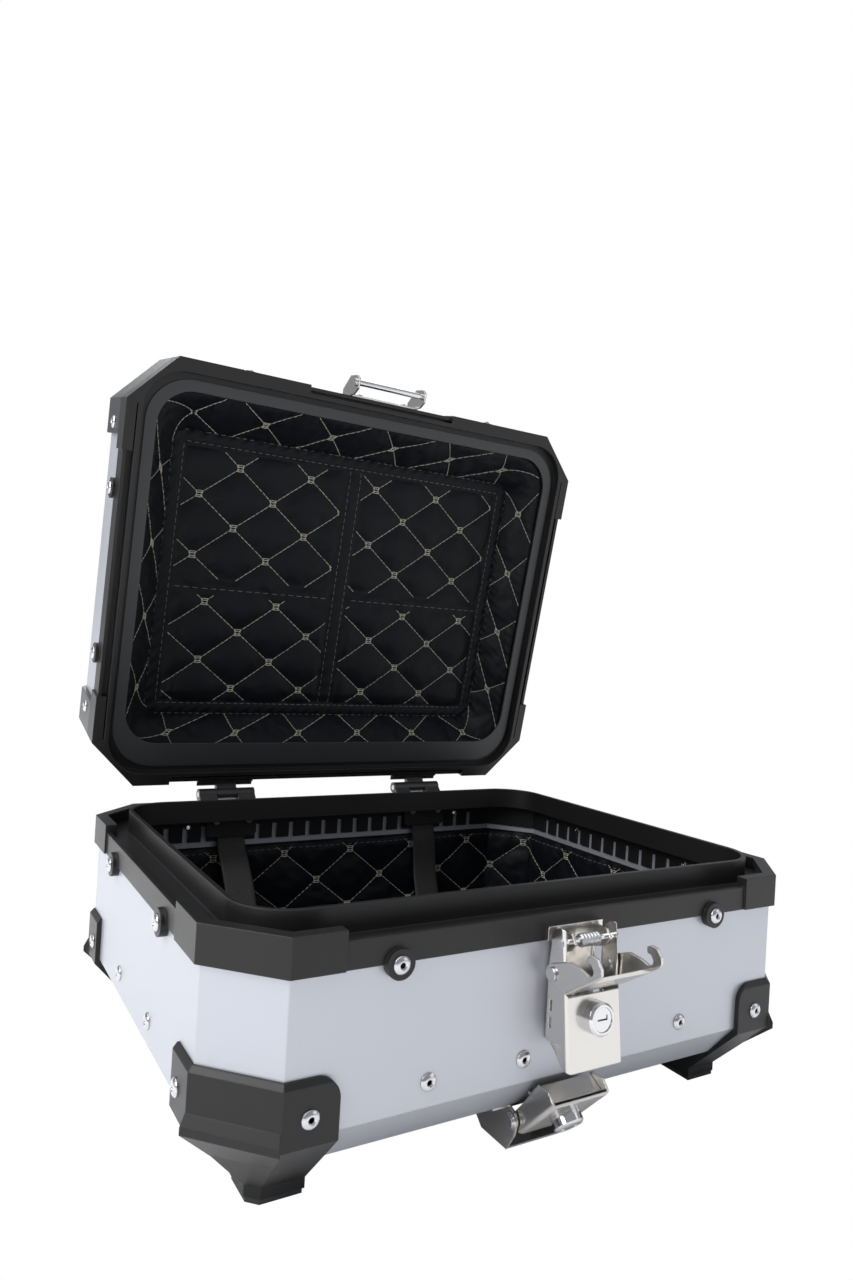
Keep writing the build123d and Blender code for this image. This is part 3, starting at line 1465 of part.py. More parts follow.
# catch on the lid: a bracket with two ears and the pin that the claw hooks
catch_face_y = -(half_depth - skirt_inset)
catch_low_z = lid_straight_z + 1.0
catch_high_z = 174.0
catch_ear_low_z = 143.5

with BuildPart() as catch_bracket:
    with BuildSketch(Plane.XZ.offset(half_depth - skirt_inset)):
        with Locations((0, (catch_low_z + catch_high_z) / 2)):
            Rectangle(2 * catch_half_width, catch_high_z - catch_low_z)
        with Locations(*[(place.origin.X, place.origin.Z) for place in catch_rivet_planes]):
            Circle(rivet_shank, mode=Mode.SUBTRACT)
    extrude(amount=plate)
    for way in (-1, 1):
        side_profile(
            [
                (catch_face_y, catch_high_z),
                (catch_face_y - 6, catch_high_z),
                (catch_y - 6, catch_z + 12),
                (catch_y - 6, catch_z - 1),
                (catch_y - 3, catch_ear_low_z),
                (catch_y + 5, catch_ear_low_z),
                (catch_face_y - 1.4, catch_z + 1),
                (catch_face_y, lid_straight_z + 1),
            ],
            plate / 2,
            centre_x=way * (catch_half_width - plate / 2),
        )
    cross_bar(catch_y, catch_z, catch_pin_radius, -50, 50, mode=Mode.SUBTRACT)
save_open(catch_bracket, "catch_bracket", hinge_axis, lid_open_angle)

with BuildPart() as catch_pin:
    cross_bar(catch_y, catch_z, catch_pin_radius, -catch_half_width - 1, catch_half_width + 1)
    for way in (-1, 1):
        start = way * catch_half_width
        cross_bar(catch_y, catch_z, 3.2, min(start, start + way * 1.5), max(start, start + way * 1.5))
save_open(catch_pin, "catch_pin", hinge_axis, lid_open_angle)

catch_rivets = rivet_group(catch_rivet_planes, plate + 3.4)
save_open(catch_rivets, "catch_rivets", hinge_axis, lid_open_angle)
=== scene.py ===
import json
import math

import bpy
import numpy as np
from mathutils import Matrix, Vector


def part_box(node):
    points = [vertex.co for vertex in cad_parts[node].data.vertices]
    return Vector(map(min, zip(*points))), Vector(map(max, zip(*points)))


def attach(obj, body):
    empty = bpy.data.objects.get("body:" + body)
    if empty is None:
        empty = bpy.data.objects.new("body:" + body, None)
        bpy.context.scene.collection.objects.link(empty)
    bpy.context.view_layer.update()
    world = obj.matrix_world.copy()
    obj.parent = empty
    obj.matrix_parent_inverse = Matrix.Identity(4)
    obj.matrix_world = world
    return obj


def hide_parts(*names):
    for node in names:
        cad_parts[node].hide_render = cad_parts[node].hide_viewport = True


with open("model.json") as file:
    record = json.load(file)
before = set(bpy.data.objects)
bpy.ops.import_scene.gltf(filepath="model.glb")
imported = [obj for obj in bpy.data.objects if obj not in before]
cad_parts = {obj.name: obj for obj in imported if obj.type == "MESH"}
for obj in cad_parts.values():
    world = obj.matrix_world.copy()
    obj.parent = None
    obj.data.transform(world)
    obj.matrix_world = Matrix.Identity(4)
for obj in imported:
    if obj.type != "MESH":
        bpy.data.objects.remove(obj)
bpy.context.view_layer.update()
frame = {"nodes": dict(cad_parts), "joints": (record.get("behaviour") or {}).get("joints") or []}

# ---------------------------------------------------------------- camera
# The viewer stands low at the front left corner of the case and looks
# slightly upwards, so the open lid rises well above the eye.
camera_place = Vector((-0.34575, -0.56518, 0.29824))
camera_turn = math.radians(-30.73)
camera_tilt = math.radians(0.43)
camera_roll = math.radians(3.35)
camera_data = bpy.data.cameras.new("camera")
camera_data.lens = 24.42
camera_data.sensor_width = 36.0
camera_data.clip_start = 0.01
camera = bpy.data.objects.new("camera", camera_data)
bpy.context.scene.collection.objects.link(camera)
camera.matrix_world = (
    Matrix.Translation(camera_place)
    @ Matrix.Rotation(camera_turn, 4, "Z")
    @ Matrix.Rotation(math.radians(90) + camera_tilt, 4, "X")
    @ Matrix.Rotation(camera_roll, 4, "Z")
)
bpy.context.scene.camera = camera

# ---------------------------------------------------------------- aluminium shells
# The case and the lid are folded from 1.5 mm aluminium sheet, satin
# anodised in a cool silver, with softly rounded folds and a fine grain.


def new_group(name, inputs, outputs):
    """An empty shader node group with named inputs and outputs."""
    group = bpy.data.node_groups.new(name, "ShaderNodeTree")
    for label, kind, value in inputs:
        socket = group.interface.new_socket(label, in_out="INPUT", socket_type=kind)
        socket.default_value = value
    for label, kind in outputs:
        group.interface.new_socket(label, in_out="OUTPUT", socket_type=kind)
    return group, group.nodes.new("NodeGroupInput"), group.nodes.new("NodeGroupOutput")


def math_node(tree, operation, *values):
    """A Math node whose inputs are numbers or other nodes' sockets."""
    node = tree.nodes.new("ShaderNodeMath")
    node.operation = operation
    for index, value in enumerate(values):
        if isinstance(value, (int, float)):
            node.inputs[index].default_value = value
        else:
            tree.links.new(value, node.inputs[index])
    return node.outputs[0]


def mix_colour(tree, factor, first, second):
    """A colour Mix node between two colour sockets or values."""
    node = tree.nodes.new("ShaderNodeMix")
    node.data_type = "RGBA"
    tree.links.new(factor, node.inputs["Factor"])
    for index, value in ((6, first), (7, second)):
        if isinstance(value, (tuple, list)):
            node.inputs[index].default_value = value
        else:
            tree.links.new(value, node.inputs[index])
    return node.outputs[2]


def build_finish_group():
    """Grain, broad tone changes and soft rounded edges with a painted edge highlight and wear, shared by
    every hard finish.
    """
    group, given, result = new_group(
        "hard_finish",
        [
            ("Base", "NodeSocketColor", (0.5, 0.5, 0.5, 1)),
            ("Tone", "NodeSocketColor", (0.45, 0.45, 0.45, 1)),
            ("Edge_highlight_and_wear", "NodeSocketColor", (0.7, 0.7, 0.7, 1)),
            ("Stretch", "NodeSocketVector", (1, 1, 1)),
            ("Grain", "NodeSocketFloat", 900.0),
            ("Roughness", "NodeSocketFloat", 0.4),
            ("Spread", "NodeSocketFloat", 0.1),
            ("Wear", "NodeSocketFloat", 0.4),
            ("Radius", "NodeSocketFloat", 0.0008),
        ],
        [
            ("Colour", "NodeSocketColor"),
            ("Roughness", "NodeSocketFloat"),
            ("Height", "NodeSocketFloat"),
            ("Normal", "NodeSocketVector"),
        ],
    )
    nodes, link = group.nodes, group.links.new
    place = nodes.new("ShaderNodeTexCoord").outputs["Object"]
    stretched = nodes.new("ShaderNodeVectorMath")
    stretched.operation = "MULTIPLY"
    link(place, stretched.inputs[0])
    link(given.outputs["Stretch"], stretched.inputs[1])
    fine = nodes.new("ShaderNodeTexNoise")
    fine.inputs["Detail"].default_value = 3.0
    link(stretched.outputs[0], fine.inputs["Vector"])
    link(given.outputs["Grain"], fine.inputs["Scale"])
    broad = nodes.new("ShaderNodeTexNoise")
    broad.inputs["Scale"].default_value = 9.0
    broad.inputs["Detail"].default_value = 5.0
    link(place, broad.inputs["Vector"])
    rounded = nodes.new("ShaderNodeBevel")
    rounded.samples = 4
    link(given.outputs["Radius"], rounded.inputs["Radius"])
    facing = nodes.new("ShaderNodeVectorMath")
    facing.operation = "DOT_PRODUCT"
    link(rounded.outputs[0], facing.inputs[0])
    link(nodes.new("ShaderNodeNewGeometry").outputs["Normal"], facing.inputs[1])
    bend = math_node(group, "SUBTRACT", 1.0, facing.outputs["Value"])
    bend = math_node(group, "MULTIPLY", bend, 6.0)
    bend = math_node(group, "MINIMUM", bend, 1.0)
    # The edge colour mixed in along the rounded edges is a painted highlight, broken up by broad noise as
    # wear.
    highlit_worn_edge = math_node(group, "MULTIPLY", bend, broad.outputs["Fac"])
    highlit_worn_edge = math_node(group, "MULTIPLY", highlit_worn_edge, given.outputs["Wear"])
    patch = math_node(group, "ADD", broad.outputs["Fac"], fine.outputs["Fac"])
    patch = math_node(group, "MULTIPLY", patch, 0.5)
    toned = mix_colour(group, patch, given.outputs["Base"], given.outputs["Tone"])
    link(mix_colour(group, highlit_worn_edge, toned, given.outputs["Edge_highlight_and_wear"]), result.inputs["Colour"])
    swing = math_node(group, "SUBTRACT", patch, 0.5)
    swing = math_node(group, "MULTIPLY", swing, given.outputs["Spread"])
    link(math_node(group, "ADD", given.outputs["Roughness"], swing), result.inputs["Roughness"])
    link(fine.outputs["Fac"], result.inputs["Height"])
    link(rounded.outputs[0], result.inputs["Normal"])
    return group


hard_finish = build_finish_group()


def hard_material(name, base, tone, edge, roughness, metallic, depth, gloss=0.5, **values):
    """A Principled material driven by the hard finish group; edge is the colour of the painted edge
    highlight and wear, depth is the grain's, in metres.
    """
    material = bpy.data.materials.new(name)
    material.use_nodes = True
    tree = material.node_tree
    shader = tree.nodes["Principled BSDF"]
    finish = tree.nodes.new("ShaderNodeGroup")
    finish.node_tree = hard_finish
    for label, colour in (("Base", base), ("Tone", tone), ("Edge_highlight_and_wear", edge)):
        finish.inputs[label].default_value = (*colour, 1)
    finish.inputs["Roughness"].default_value = roughness
    for label, value in values.items():
        finish.inputs[label].default_value = value
    bump = tree.nodes.new("ShaderNodeBump")
    bump.inputs["Distance"].default_value = depth
    tree.links.new(finish.outputs["Height"], bump.inputs["Height"])
    tree.links.new(finish.outputs["Normal"], bump.inputs["Normal"])
    tree.links.new(finish.outputs["Colour"], shader.inputs["Base Color"])
    tree.links.new(finish.outputs["Roughness"], shader.inputs["Roughness"])
    tree.links.new(bump.outputs["Normal"], shader.inputs["Normal"])
    shader.inputs["Metallic"].default_value = metallic
    shader.inputs["Specular IOR Level"].default_value = gloss
    return material


def dress(material, *names):
    """Give CAD nodes their material."""
    for name in names:
        mesh = frame["nodes"][name].data
        mesh.materials.clear()
        mesh.materials.append(material)


anodised = hard_material(
    "anodised_aluminium",
    (0.44, 0.455, 0.50),
    (0.49, 0.505, 0.55),
    (0.70, 0.72, 0.76),
    0.42,
    0.6,
    0.00002,
    Grain=1600.0,
    Spread=0.12,
    Radius=0.0014,
)
dress(anodised, "case_shell", "lid_shell")

# ---------------------------------------------------------------- plastic rims and guards
# Rims, corner shoes and lid guards are injection moulded in black
# polypropylene with a fine spark-eroded texture and rounded edges.
# Its third colour is a painted light-grey highlight, with wear, along the edges of the rims and shoes.
moulded = hard_material(
    "moulded_black_plastic",
    (0.0065, 0.0065, 0.007),
    (0.012, 0.012, 0.0125),
    (0.085, 0.085, 0.09),
    0.40,
    0.0,
    0.00006,
    gloss=0.34,
    Grain=2200.0,
    Spread=0.16,
    Wear=0.5,
    Radius=0.0010,
)
corner_names = [f"{way}_{side}" for way in ("front", "rear") for side in ("left", "right")]
dress(moulded, "case_rim", "lid_rim")
dress(moulded, *[f"corner_shoe_{corner}" for corner in corner_names])
# The lid guards get a lighter copy of the black plastic: its lighter colour is painted light, for guard
# faces that turn to the key light.
guard_plastic_painted_lit = hard_material(
    "guard_plastic_painted_lit",
    (0.018, 0.020, 0.022),
    (0.028, 0.031, 0.034),
    (0.11, 0.12, 0.12),
    0.36,
    0.0,
    0.00006,
    gloss=0.5,
    Grain=2200.0,
    Spread=0.16,
    Wear=0.5,
    Radius=0.0012,
)
dress(guard_plastic_painted_lit, *[f"lid_guard_{corner}" for corner in corner_names])

# ---------------------------------------------------------------- seal and foot pads
# Soft black rubber: a flat seal inside the lid rim that lands on the
# case's lip, and a flat pad under each leg.
rubber = hard_material(
    "soft_rubber",
    (0.017, 0.018, 0.020),
    (0.026, 0.028, 0.031),
    (0.10, 0.105, 0.11),
    0.45,
    0.0,
    0.00004,
    Grain=3000.0,
    Spread=0.1,
    Wear=0.2,
)
dress(rubber, "lid_seal", "foot_pads")

# ---------------------------------------------------------------- rivets
# Bright aluminium blind rivets with a domed head and an open centre.
rivet_metal = hard_material(
    "bright_rivet",
    (0.62, 0.62, 0.64),
    (0.52, 0.52, 0.54),
    (0.90, 0.90, 0.90),
    0.20,
    1.0,
    0.00002,
    Grain=2500.0,
    Spread=0.2,
)
dress(
    rivet_metal,
    "rim_rivets",
    "shell_rivets",
    "shoe_rivets",
    "lid_rim_rivets",
    "lid_guard_rivets",
    "catch_rivets",
    "claw_rivets",
    "latch_bracket_rivets",
    "mount_bracket_rivets",
)

# ---------------------------------------------------------------- hinges and rear hooks
# Steel leaves, clamp plates and hooks, powder coated black over a slight
# orange peel, with zinc-plated bolts and pins.
powder_coat = hard_material(
    "black_powder_coat",
    (0.013, 0.013, 0.014),
    (0.020, 0.020, 0.021),
    (0.10, 0.10, 0.10),
    0.38,
    0.0,
    0.00008,
    Grain=900.0,
    Spread=0.14,
    Wear=0.5,
)
zinc = hard_material(
    "zinc_plate",
    (0.55, 0.56, 0.58),
    (0.40, 0.41, 0.43),
    (0.8, 0.8, 0.8),
    0.30,
    1.0,
    0.00003,
    Grain=1400.0,
    Spread=0.2,
)
for side in ("left", "right"):
    dress(
        powder_coat,
        f"hinge_case_leaf_{side}",
        f"hinge_lid_leaf_{side}",
        f"hinge_clamp_{side}",
        f"rear_hook_{side}",
    )
dress(zinc, "hinge_bolts_case", "hinge_bolts_lid", "hinge_pins", "hook_bolts", "latch_spring")

# ---------------------------------------------------------------- latch, catch and mount lock
# Pressed stainless plates with a vertical brushed satin finish. Pins and
# lock barrels are turned and polished.
satin_steel = hard_material(
    "satin_stainless",
    (0.58, 0.565, 0.54),
    (0.64, 0.62, 0.595),
    (0.90, 0.89, 0.87),
    0.24,
    1.0,
    0.000004,
    Grain=1500.0,
    Stretch=(3.0, 1.0, 0.05),
    Spread=0.10,
    Radius=0.0007,
)
polished_steel = hard_material(
    "polished_steel",
    (0.66, 0.66, 0.67),
    (0.60, 0.60, 0.61),
    (0.97, 0.97, 0.97),
    0.10,
    1.0,
    0.00001,
    Grain=1200.0,
    Spread=0.08,
    Radius=0.0005,
)
dress(satin_steel, "latch_bracket", "latch_lever", "latch_claw", "latch_cam", "catch_bracket")
dress(satin_steel, "mount_bracket", "mount_lever", "mount_jaw")
dress(polished_steel, "latch_barrel", "latch_plug", "latch_pin", "catch_pin")
dress(polished_steel, "mount_barrel", "mount_plug", "mount_pin")

# ---------------------------------------------------------------- lining of the lid: panel
# Black leatherette over foam, quilted in diamonds with a pale thread.
# A bound seam runs down the middle, and two pockets cover the half
# towards the hinges. The edge is bound and has two rows of stitches.
hinge = next(joint for joint in frame["joints"] if joint["name"] == "lid_hinge")
hinge_place = Vector(hinge["pos_m"])
lid_swing = Matrix.Rotation(math.radians(-hinge["range_deg"][0]), 3, Vector(hinge["axis"]))
diamond_x = 0.033           # half a diamond across
diamond_y = 0.026           # half a diamond along
puff = 0.0034               # how far a diamond stands up between its stitches
held_down = 0.2             # the stitches hold a cushion where its height share is below this
wrinkle = 0.0005            # height of the cloth's uneven waves


def pillow(u, v):
    """Height, 0 to 1, of a quilted cushion whose stitches cross at (0, 0)."""
    first = np.abs(np.sin(math.pi / 2 * (u / diamond_x + v / diamond_y)))
    second = np.abs(np.sin(math.pi / 2 * (u / diamond_x - v / diamond_y)))
    return np.sqrt(first * second)


def ripple(u, v, size, seed):
    """Gentle, irregular waves in the cloth, from -1 to 1."""
    rng = np.random.default_rng(seed)
    total = np.zeros(np.broadcast(u, v).shape)
    for _ in range(7):
        heading, phase = rng.uniform(0, math.tau, 2)
        length = size * rng.uniform(0.6, 1.8)
        total = total + np.sin((u * math.cos(heading) + v * math.sin(heading)) * math.tau / length + phase)
    return total / 4.0


def padded_grid(name, front, back, closed):
    """A closed pad from a grid of front points and the matching back points."""
    rows, columns = front.shape[:2]
    points = np.concatenate([front.reshape(-1, 3), back.reshape(-1, 3)])
    index = np.arange(rows * columns).reshape(rows, columns)
    right = np.roll(index, -1, axis=1) if closed else index[:, 1:]
    left = index if closed else index[:, :-1]
    quads = np.stack([left[:-1], right[:-1], right[1:], left[1:]], -1).reshape(-1, 4)
    below = quads[:, ::-1] + rows * columns
    sides = []
    for row, order in ((0, 1), (rows - 1, -1)):
        a, b = left[row], right[row]
        strip = np.stack([a, b, b + rows * columns, a + rows * columns], -1)
        sides.append(strip[:, ::order])
    if not closed:
        for column, order in ((0, -1), (columns - 1, 1)):
            a, b = index[:-1, column], index[1:, column]
            strip = np.stack([a, b, b + rows * columns, a + rows * columns], -1)
            sides.append(strip[:, ::order])
    faces = np.concatenate([quads[:, ::-1], below[:, ::-1]] + sides)
    mesh = bpy.data.meshes.new(name)
    mesh.from_pydata(points.tolist(), [], faces.tolist())
    mesh.update()
    mesh.shade_smooth()
    piece = bpy.data.objects.new(name, mesh)
    bpy.context.scene.collection.objects.link(piece)
    return piece


settle_steps = 12           # frames that the cloth is given to settle


def inflate(front, sewn, closed, cap=0.0025):
    """Let the foam push the cloth out between its seams; sewn points stay where they are."""
    rows, columns = front.shape[:2]
    index = np.arange(rows * columns).reshape(rows, columns)
    right = np.roll(index, -1, axis=1) if closed else index[:, 1:]
    left = index if closed else index[:, :-1]
    quads = np.stack([left[:-1], left[1:], right[1:], right[:-1]], -1).reshape(-1, 4)
    mesh = bpy.data.meshes.new("cloth_trial")
    mesh.from_pydata(front.reshape(-1, 3).tolist(), [], quads.tolist())
    cloth = bpy.data.objects.new("cloth_trial", mesh)
    bpy.context.scene.collection.objects.link(cloth)
    seam_group = cloth.vertex_groups.new(name="sewn")
    seam_group.add(np.nonzero(sewn.reshape(-1))[0].tolist(), 1.0, "REPLACE")
    modifier = cloth.modifiers.new("cloth", "CLOTH")
    settings = modifier.settings
    settings.quality = 3
    settings.mass = 0.15
    settings.tension_stiffness = 6.0
    settings.compression_stiffness = 3.0
    settings.shear_stiffness = 2.0
    settings.bending_stiffness = 0.4
    settings.air_damping = 4.0
    settings.shrink_min = -0.01
    settings.use_pressure = True
    settings.uniform_pressure_force = 3.0
    settings.effector_weights.gravity = 0.0
    settings.vertex_group_mass = "sewn"
    for step in range(1, settle_steps + 1):
        bpy.context.scene.frame_set(step)
    settled = cloth.evaluated_get(bpy.context.evaluated_depsgraph_get()).to_mesh()
    moved = np.zeros(rows * columns * 3)
    settled.vertices.foreach_get("co", moved)
    bpy.context.scene.frame_set(1)
    bpy.data.objects.remove(cloth)
    shift = moved.reshape(front.shape) - front
    length = np.linalg.norm(shift, axis=-1, keepdims=True)
    shift = np.nan_to_num(shift) * np.minimum(1.0, cap / np.maximum(np.nan_to_num(length), 1e-9))
    return front + shift


def on_grid(front, across, down, closed):
    """The point of a cloth grid this share of the way across its columns and down its rows."""
    rows, columns = front.shape[:2]
    x = across * (columns if closed else columns - 1)
    y = min(max(down, 0), 1) * (rows - 1)
    left = math.floor(x) if closed else min(max(math.floor(x), 0), columns - 2)
    top = min(math.floor(y), rows - 2)
    share_x, share_y = x - left, y - top
    near, far = front[:, left % columns], front[:, (left + 1) % columns]
    upper = near[top] * (1 - share_x) + far[top] * share_x
    lower = near[top + 1] * (1 - share_x) + far[top + 1] * share_x
    return Vector(upper * (1 - share_y) + lower * share_y)


def stitch_run(start, end, length=0.0040, gap=0.0005):
    """Pairs of (u, v) points, one pair for each stitch of a straight run."""
    start, end = np.array(start, float), np.array(end, float)
    total = np.linalg.norm(end - start)
    count = max(int(total / (length + gap)), 1)
    ahead = (end - start) / total
    first = (total - count * (length + gap) + gap) / 2
    return [
        (start + ahead * (first + k * (length + gap)), start + ahead * (first + k * (length + gap) + length))
        for k in range(count)
    ]


# Stations along a stitch: share of its length, share of its full radius, and lift in radii.
stitch_stations = ((0, 0.6, 0.0), (0.2, 1.0, 0.8), (0.5, 1.0, 1.1), (0.8, 1.0, 0.8), (1, 0.6, 0.0))
thread_sides = 6


def thread_object(name, stitches, surface, radius=0.00031):
    """All the stitches of one piece: short rounded threads that dip into the cloth at both ends."""
    points, faces = [], []
    ring = [(math.cos(a), math.sin(a)) for a in np.arange(thread_sides) * math.tau / thread_sides]
    for begin, finish in stitches:
        (a, normal), (b, _) = surface(*begin), surface(*finish)
        along = (b - a).normalized()
        across = along.cross(normal).normalized()
        base = len(points)
        for share, size, lift in stitch_stations:
            middle = a.lerp(b, share) + normal * lift * radius
            for c, s in ring:
                points.append(middle + (across * c + normal * s) * size * radius)
        last = base + (len(stitch_stations) - 1) * thread_sides
        for low in range(base, last, thread_sides):
            high = low + thread_sides
            for k in range(thread_sides):
                beside = (k + 1) % thread_sides
                faces.append((low + k, low + beside, high + beside, high + k))
        faces.append(tuple(base + k for k in reversed(range(thread_sides))))
        faces.append(tuple(last + k for k in range(thread_sides)))
    mesh = bpy.data.meshes.new(name)
    mesh.from_pydata(points, [], faces)
    mesh.shade_smooth()
    thread = bpy.data.objects.new(name, mesh)
    bpy.context.scene.collection.objects.link(thread)
    return thread


knot_reach = 0.0030         # half the width of a knot
knot_bars = (-0.0028, -0.0012, 0.0012, 0.0028)
tie_reach = 0.0024          # half the height of its two slanting ties


def knot(u, v):
    """The little block of bars that ties a corner of the quilting down."""
    bars = [((u - knot_reach, v + lift), (u + knot_reach, v + lift)) for lift in knot_bars]
    ties = [
        ((u + way * knot_reach, v - tie_reach), (u + way * knot_reach * 0.5, v + tie_reach))
        for way in (-1, 1)
    ]
    return bars + ties


def quilt_stitches(low_u, high_u, low_v, high_v, allowed):
    """Diamond stitching over a rectangle, kept where allowed(u, v) is true."""
    runs = []
    columns = range(math.floor(low_u / diamond_x) - 1, math.ceil(high_u / diamond_x) + 2)
    rows = range(math.floor(low_v / diamond_y) - 1, math.ceil(high_v / diamond_y) + 2)
    for column in columns:
        for row in rows:
            if (column + row) % 2:
                continue
            u, v = column * diamond_x, row * diamond_y
            if allowed(u, v):
                runs += knot(u, v)
            for way in (-1, 1):
                far = (u + diamond_x, v + way * diamond_y)
                runs += stitch_run((u, v), far)

    def fits(point):
        return low_u < point[0] < high_u and low_v < point[1] < high_v and allowed(*point)

    return [(a, b) for a, b in runs if fits(a) and fits(b)]


def build_cloth_group():
    """Fine leather grain with creases and a little change of tone."""
    group, given, result = new_group(
        "leatherette_grain",
        [
            ("Base", "NodeSocketColor", (0.01, 0.01, 0.01, 1)),
            ("Tone", "NodeSocketColor", (0.02, 0.02, 0.02, 1)),
            ("Grain", "NodeSocketFloat", 1100.0),
            ("Roughness", "NodeSocketFloat", 0.5),
        ],
        [
            ("Colour", "NodeSocketColor"),
            ("Roughness", "NodeSocketFloat"),
            ("Height", "NodeSocketFloat"),
        ],
    )
    nodes, link = group.nodes, group.links.new
    place = nodes.new("ShaderNodeTexCoord").outputs["Object"]
    cells = nodes.new("ShaderNodeTexVoronoi")
    cells.feature = "DISTANCE_TO_EDGE"
    link(place, cells.inputs["Vector"])
    link(given.outputs["Grain"], cells.inputs["Scale"])
    creases = nodes.new("ShaderNodeTexNoise")
    creases.inputs["Scale"].default_value = 120.0
    creases.inputs["Detail"].default_value = 6.0
    link(place, creases.inputs["Vector"])
    colour = mix_colour(group, creases.outputs["Fac"], given.outputs["Base"], given.outputs["Tone"])
    link(colour, result.inputs["Colour"])
    height = math_node(group, "MINIMUM", cells.outputs["Distance"], 0.25)
    height = math_node(group, "ADD", height, creases.outputs["Fac"])
    link(height, result.inputs["Height"])
    swing = math_node(group, "MULTIPLY", math_node(group, "SUBTRACT", creases.outputs["Fac"], 0.5), 0.3)
    link(math_node(group, "ADD", given.outputs["Roughness"], swing), result.inputs["Roughness"])
    return group


def grained_material(name, group, values, depth, sheen, gloss=0.4):
    """A Principled material whose colour, roughness and bump come from a cloth group."""
    material = bpy.data.materials.new(name)
    material.use_nodes = True
    tree = material.node_tree
    shader = tree.nodes["Principled BSDF"]
    grain = tree.nodes.new("ShaderNodeGroup")
    grain.node_tree = group
    for label, value in values.items():
        grain.inputs[label].default_value = value
    bump = tree.nodes.new("ShaderNodeBump")
    bump.inputs["Distance"].default_value = depth
    tree.links.new(grain.outputs["Height"], bump.inputs["Height"])
    tree.links.new(grain.outputs["Colour"], shader.inputs["Base Color"])
    tree.links.new(grain.outputs["Roughness"], shader.inputs["Roughness"])
    tree.links.new(bump.outputs["Normal"], shader.inputs["Normal"])
    shader.inputs["Sheen Weight"].default_value = sheen
    shader.inputs["Specular IOR Level"].default_value = gloss
    shader.inputs["Sheen Roughness"].default_value = 0.4
    return material


cloth_grain = build_cloth_group()
leatherette = grained_material(
    "black_leatherette",
    cloth_grain,
    {"Base": (0.0020, 0.0026, 0.0040, 1), "Tone": (0.0045, 0.0055, 0.0080, 1), "Roughness": 0.50},
    0.00012,
    0.02,
    0.14,
)
thread_cloth = grained_material(
    "pale_thread",
    cloth_grain,
    {"Base": (0.28, 0.27, 0.21, 1), "Tone": (0.50, 0.48, 0.39, 1), "Grain": 4000.0, "Roughness": 0.7},
    0.00008,
    0.3,
)
dark_thread = grained_material(
    "grey_thread",
    cloth_grain,
    {"Base": (0.05, 0.05, 0.05, 1), "Tone": (0.12, 0.12, 0.12, 1), "Grain": 4000.0, "Roughness": 0.7},
    0.00008,
    0.3,
)

panel_half_x, panel_half_y = 0.170, 0.124
panel_face_z = 0.1952
panel_back_z = 0.1990
seam_half = 0.0075          # bound seam, half its width
seam_reach = 0.009          # and half its width with its rounded sides
hem_y = 0.004               # top edge of the two pockets
pocket_step = 0.0022        # how far the pockets' cloth lies above the panel's
edge_band = 0.012           # bound edge
panel_shift_x, panel_shift_y = 0.0424, 0.0452       # the quilting starts this far from the middle
pocket_shift_x, pocket_shift_y = 0.0274, 0.0572     # and this far on the two pockets
seam_clearance = 0.0015     # bare cloth beside the seam
edge_clearance = 0.001      # and inside the bound edge
hem_low, hem_high = -0.003, 0.010                   # and on both sides of the hem
line_stitch, line_gap = 0.004, 0.0022               # stitches of the dark seams
seam_line = seam_half - 0.0022                      # from the middle to the seam's stitches
edge_lines = (0.0015, 0.0110)                       # from the edge to its two rows of stitches
hem_line = hem_y + 0.005                            # the row of stitches under the hem
hem_start, hem_end = 0.012, 0.156                   # its ends, from the middle


def panel_pillow(u, v):
    """The panel's cushions; the cloth of the pockets is cut from another part of the roll."""
    plain = pillow(u + panel_shift_x, v + panel_shift_y)
    return np.where(v > hem_y, pillow(u + pocket_shift_x, v + pocket_shift_y), plain)


def panel_height(u, v):
    """How far the panel's face stands off its backing."""
    height = panel_pillow(u, v)
    height = puff * height + wrinkle * ripple(u, v, 0.05, 3)
    pocket = 1 / (1 + np.exp(-(v - hem_y) / 0.0008))
    height = height + pocket_step * pocket
    near_hem = np.exp(-(((v - hem_y - 0.006) / 0.006) ** 2))
    height = height * (1 - 0.7 * near_hem) + near_hem * (pocket_step + 0.0005 * np.sin(u / 0.0035))
    seam = np.clip((np.abs(u) - seam_half) / 0.007, 0, 1) ** 0.5
    strip = 0.0026 + 0.0006 * np.sin(v / 0.0023) * np.clip(np.abs(u) / seam_half, 0, 1)
    strip = strip * np.sqrt(np.clip(1 - (u / seam_reach) ** 2, 0, 1))
    height = np.where(np.abs(u) < seam_reach, strip, height * seam)
    edge = np.minimum(panel_half_x - np.abs(u), panel_half_y - np.abs(v))
    fade = np.clip((edge - edge_band) / 0.010, 0, 1) ** 0.5
    band = 0.0030 * np.sqrt(np.clip(1 - ((edge - edge_band / 2) / (edge_band / 2 + 0.001)) ** 2, 0, 1))
    pucker = 1 + 0.25 * np.sin((u + v) / 0.0019) * np.clip(1 - edge / edge_band, 0, 1)
    return np.where(edge < edge_band, band * pucker, height * fade)


def panel_surface(u, v):
    """A point on the panel's face, with the direction it faces."""
    across, down = (u / panel_half_x + 1) / 2, (v / panel_half_y + 1) / 2
    return on_grid(panel_front, across, down, False), lid_swing @ Vector((0, 0, -1))


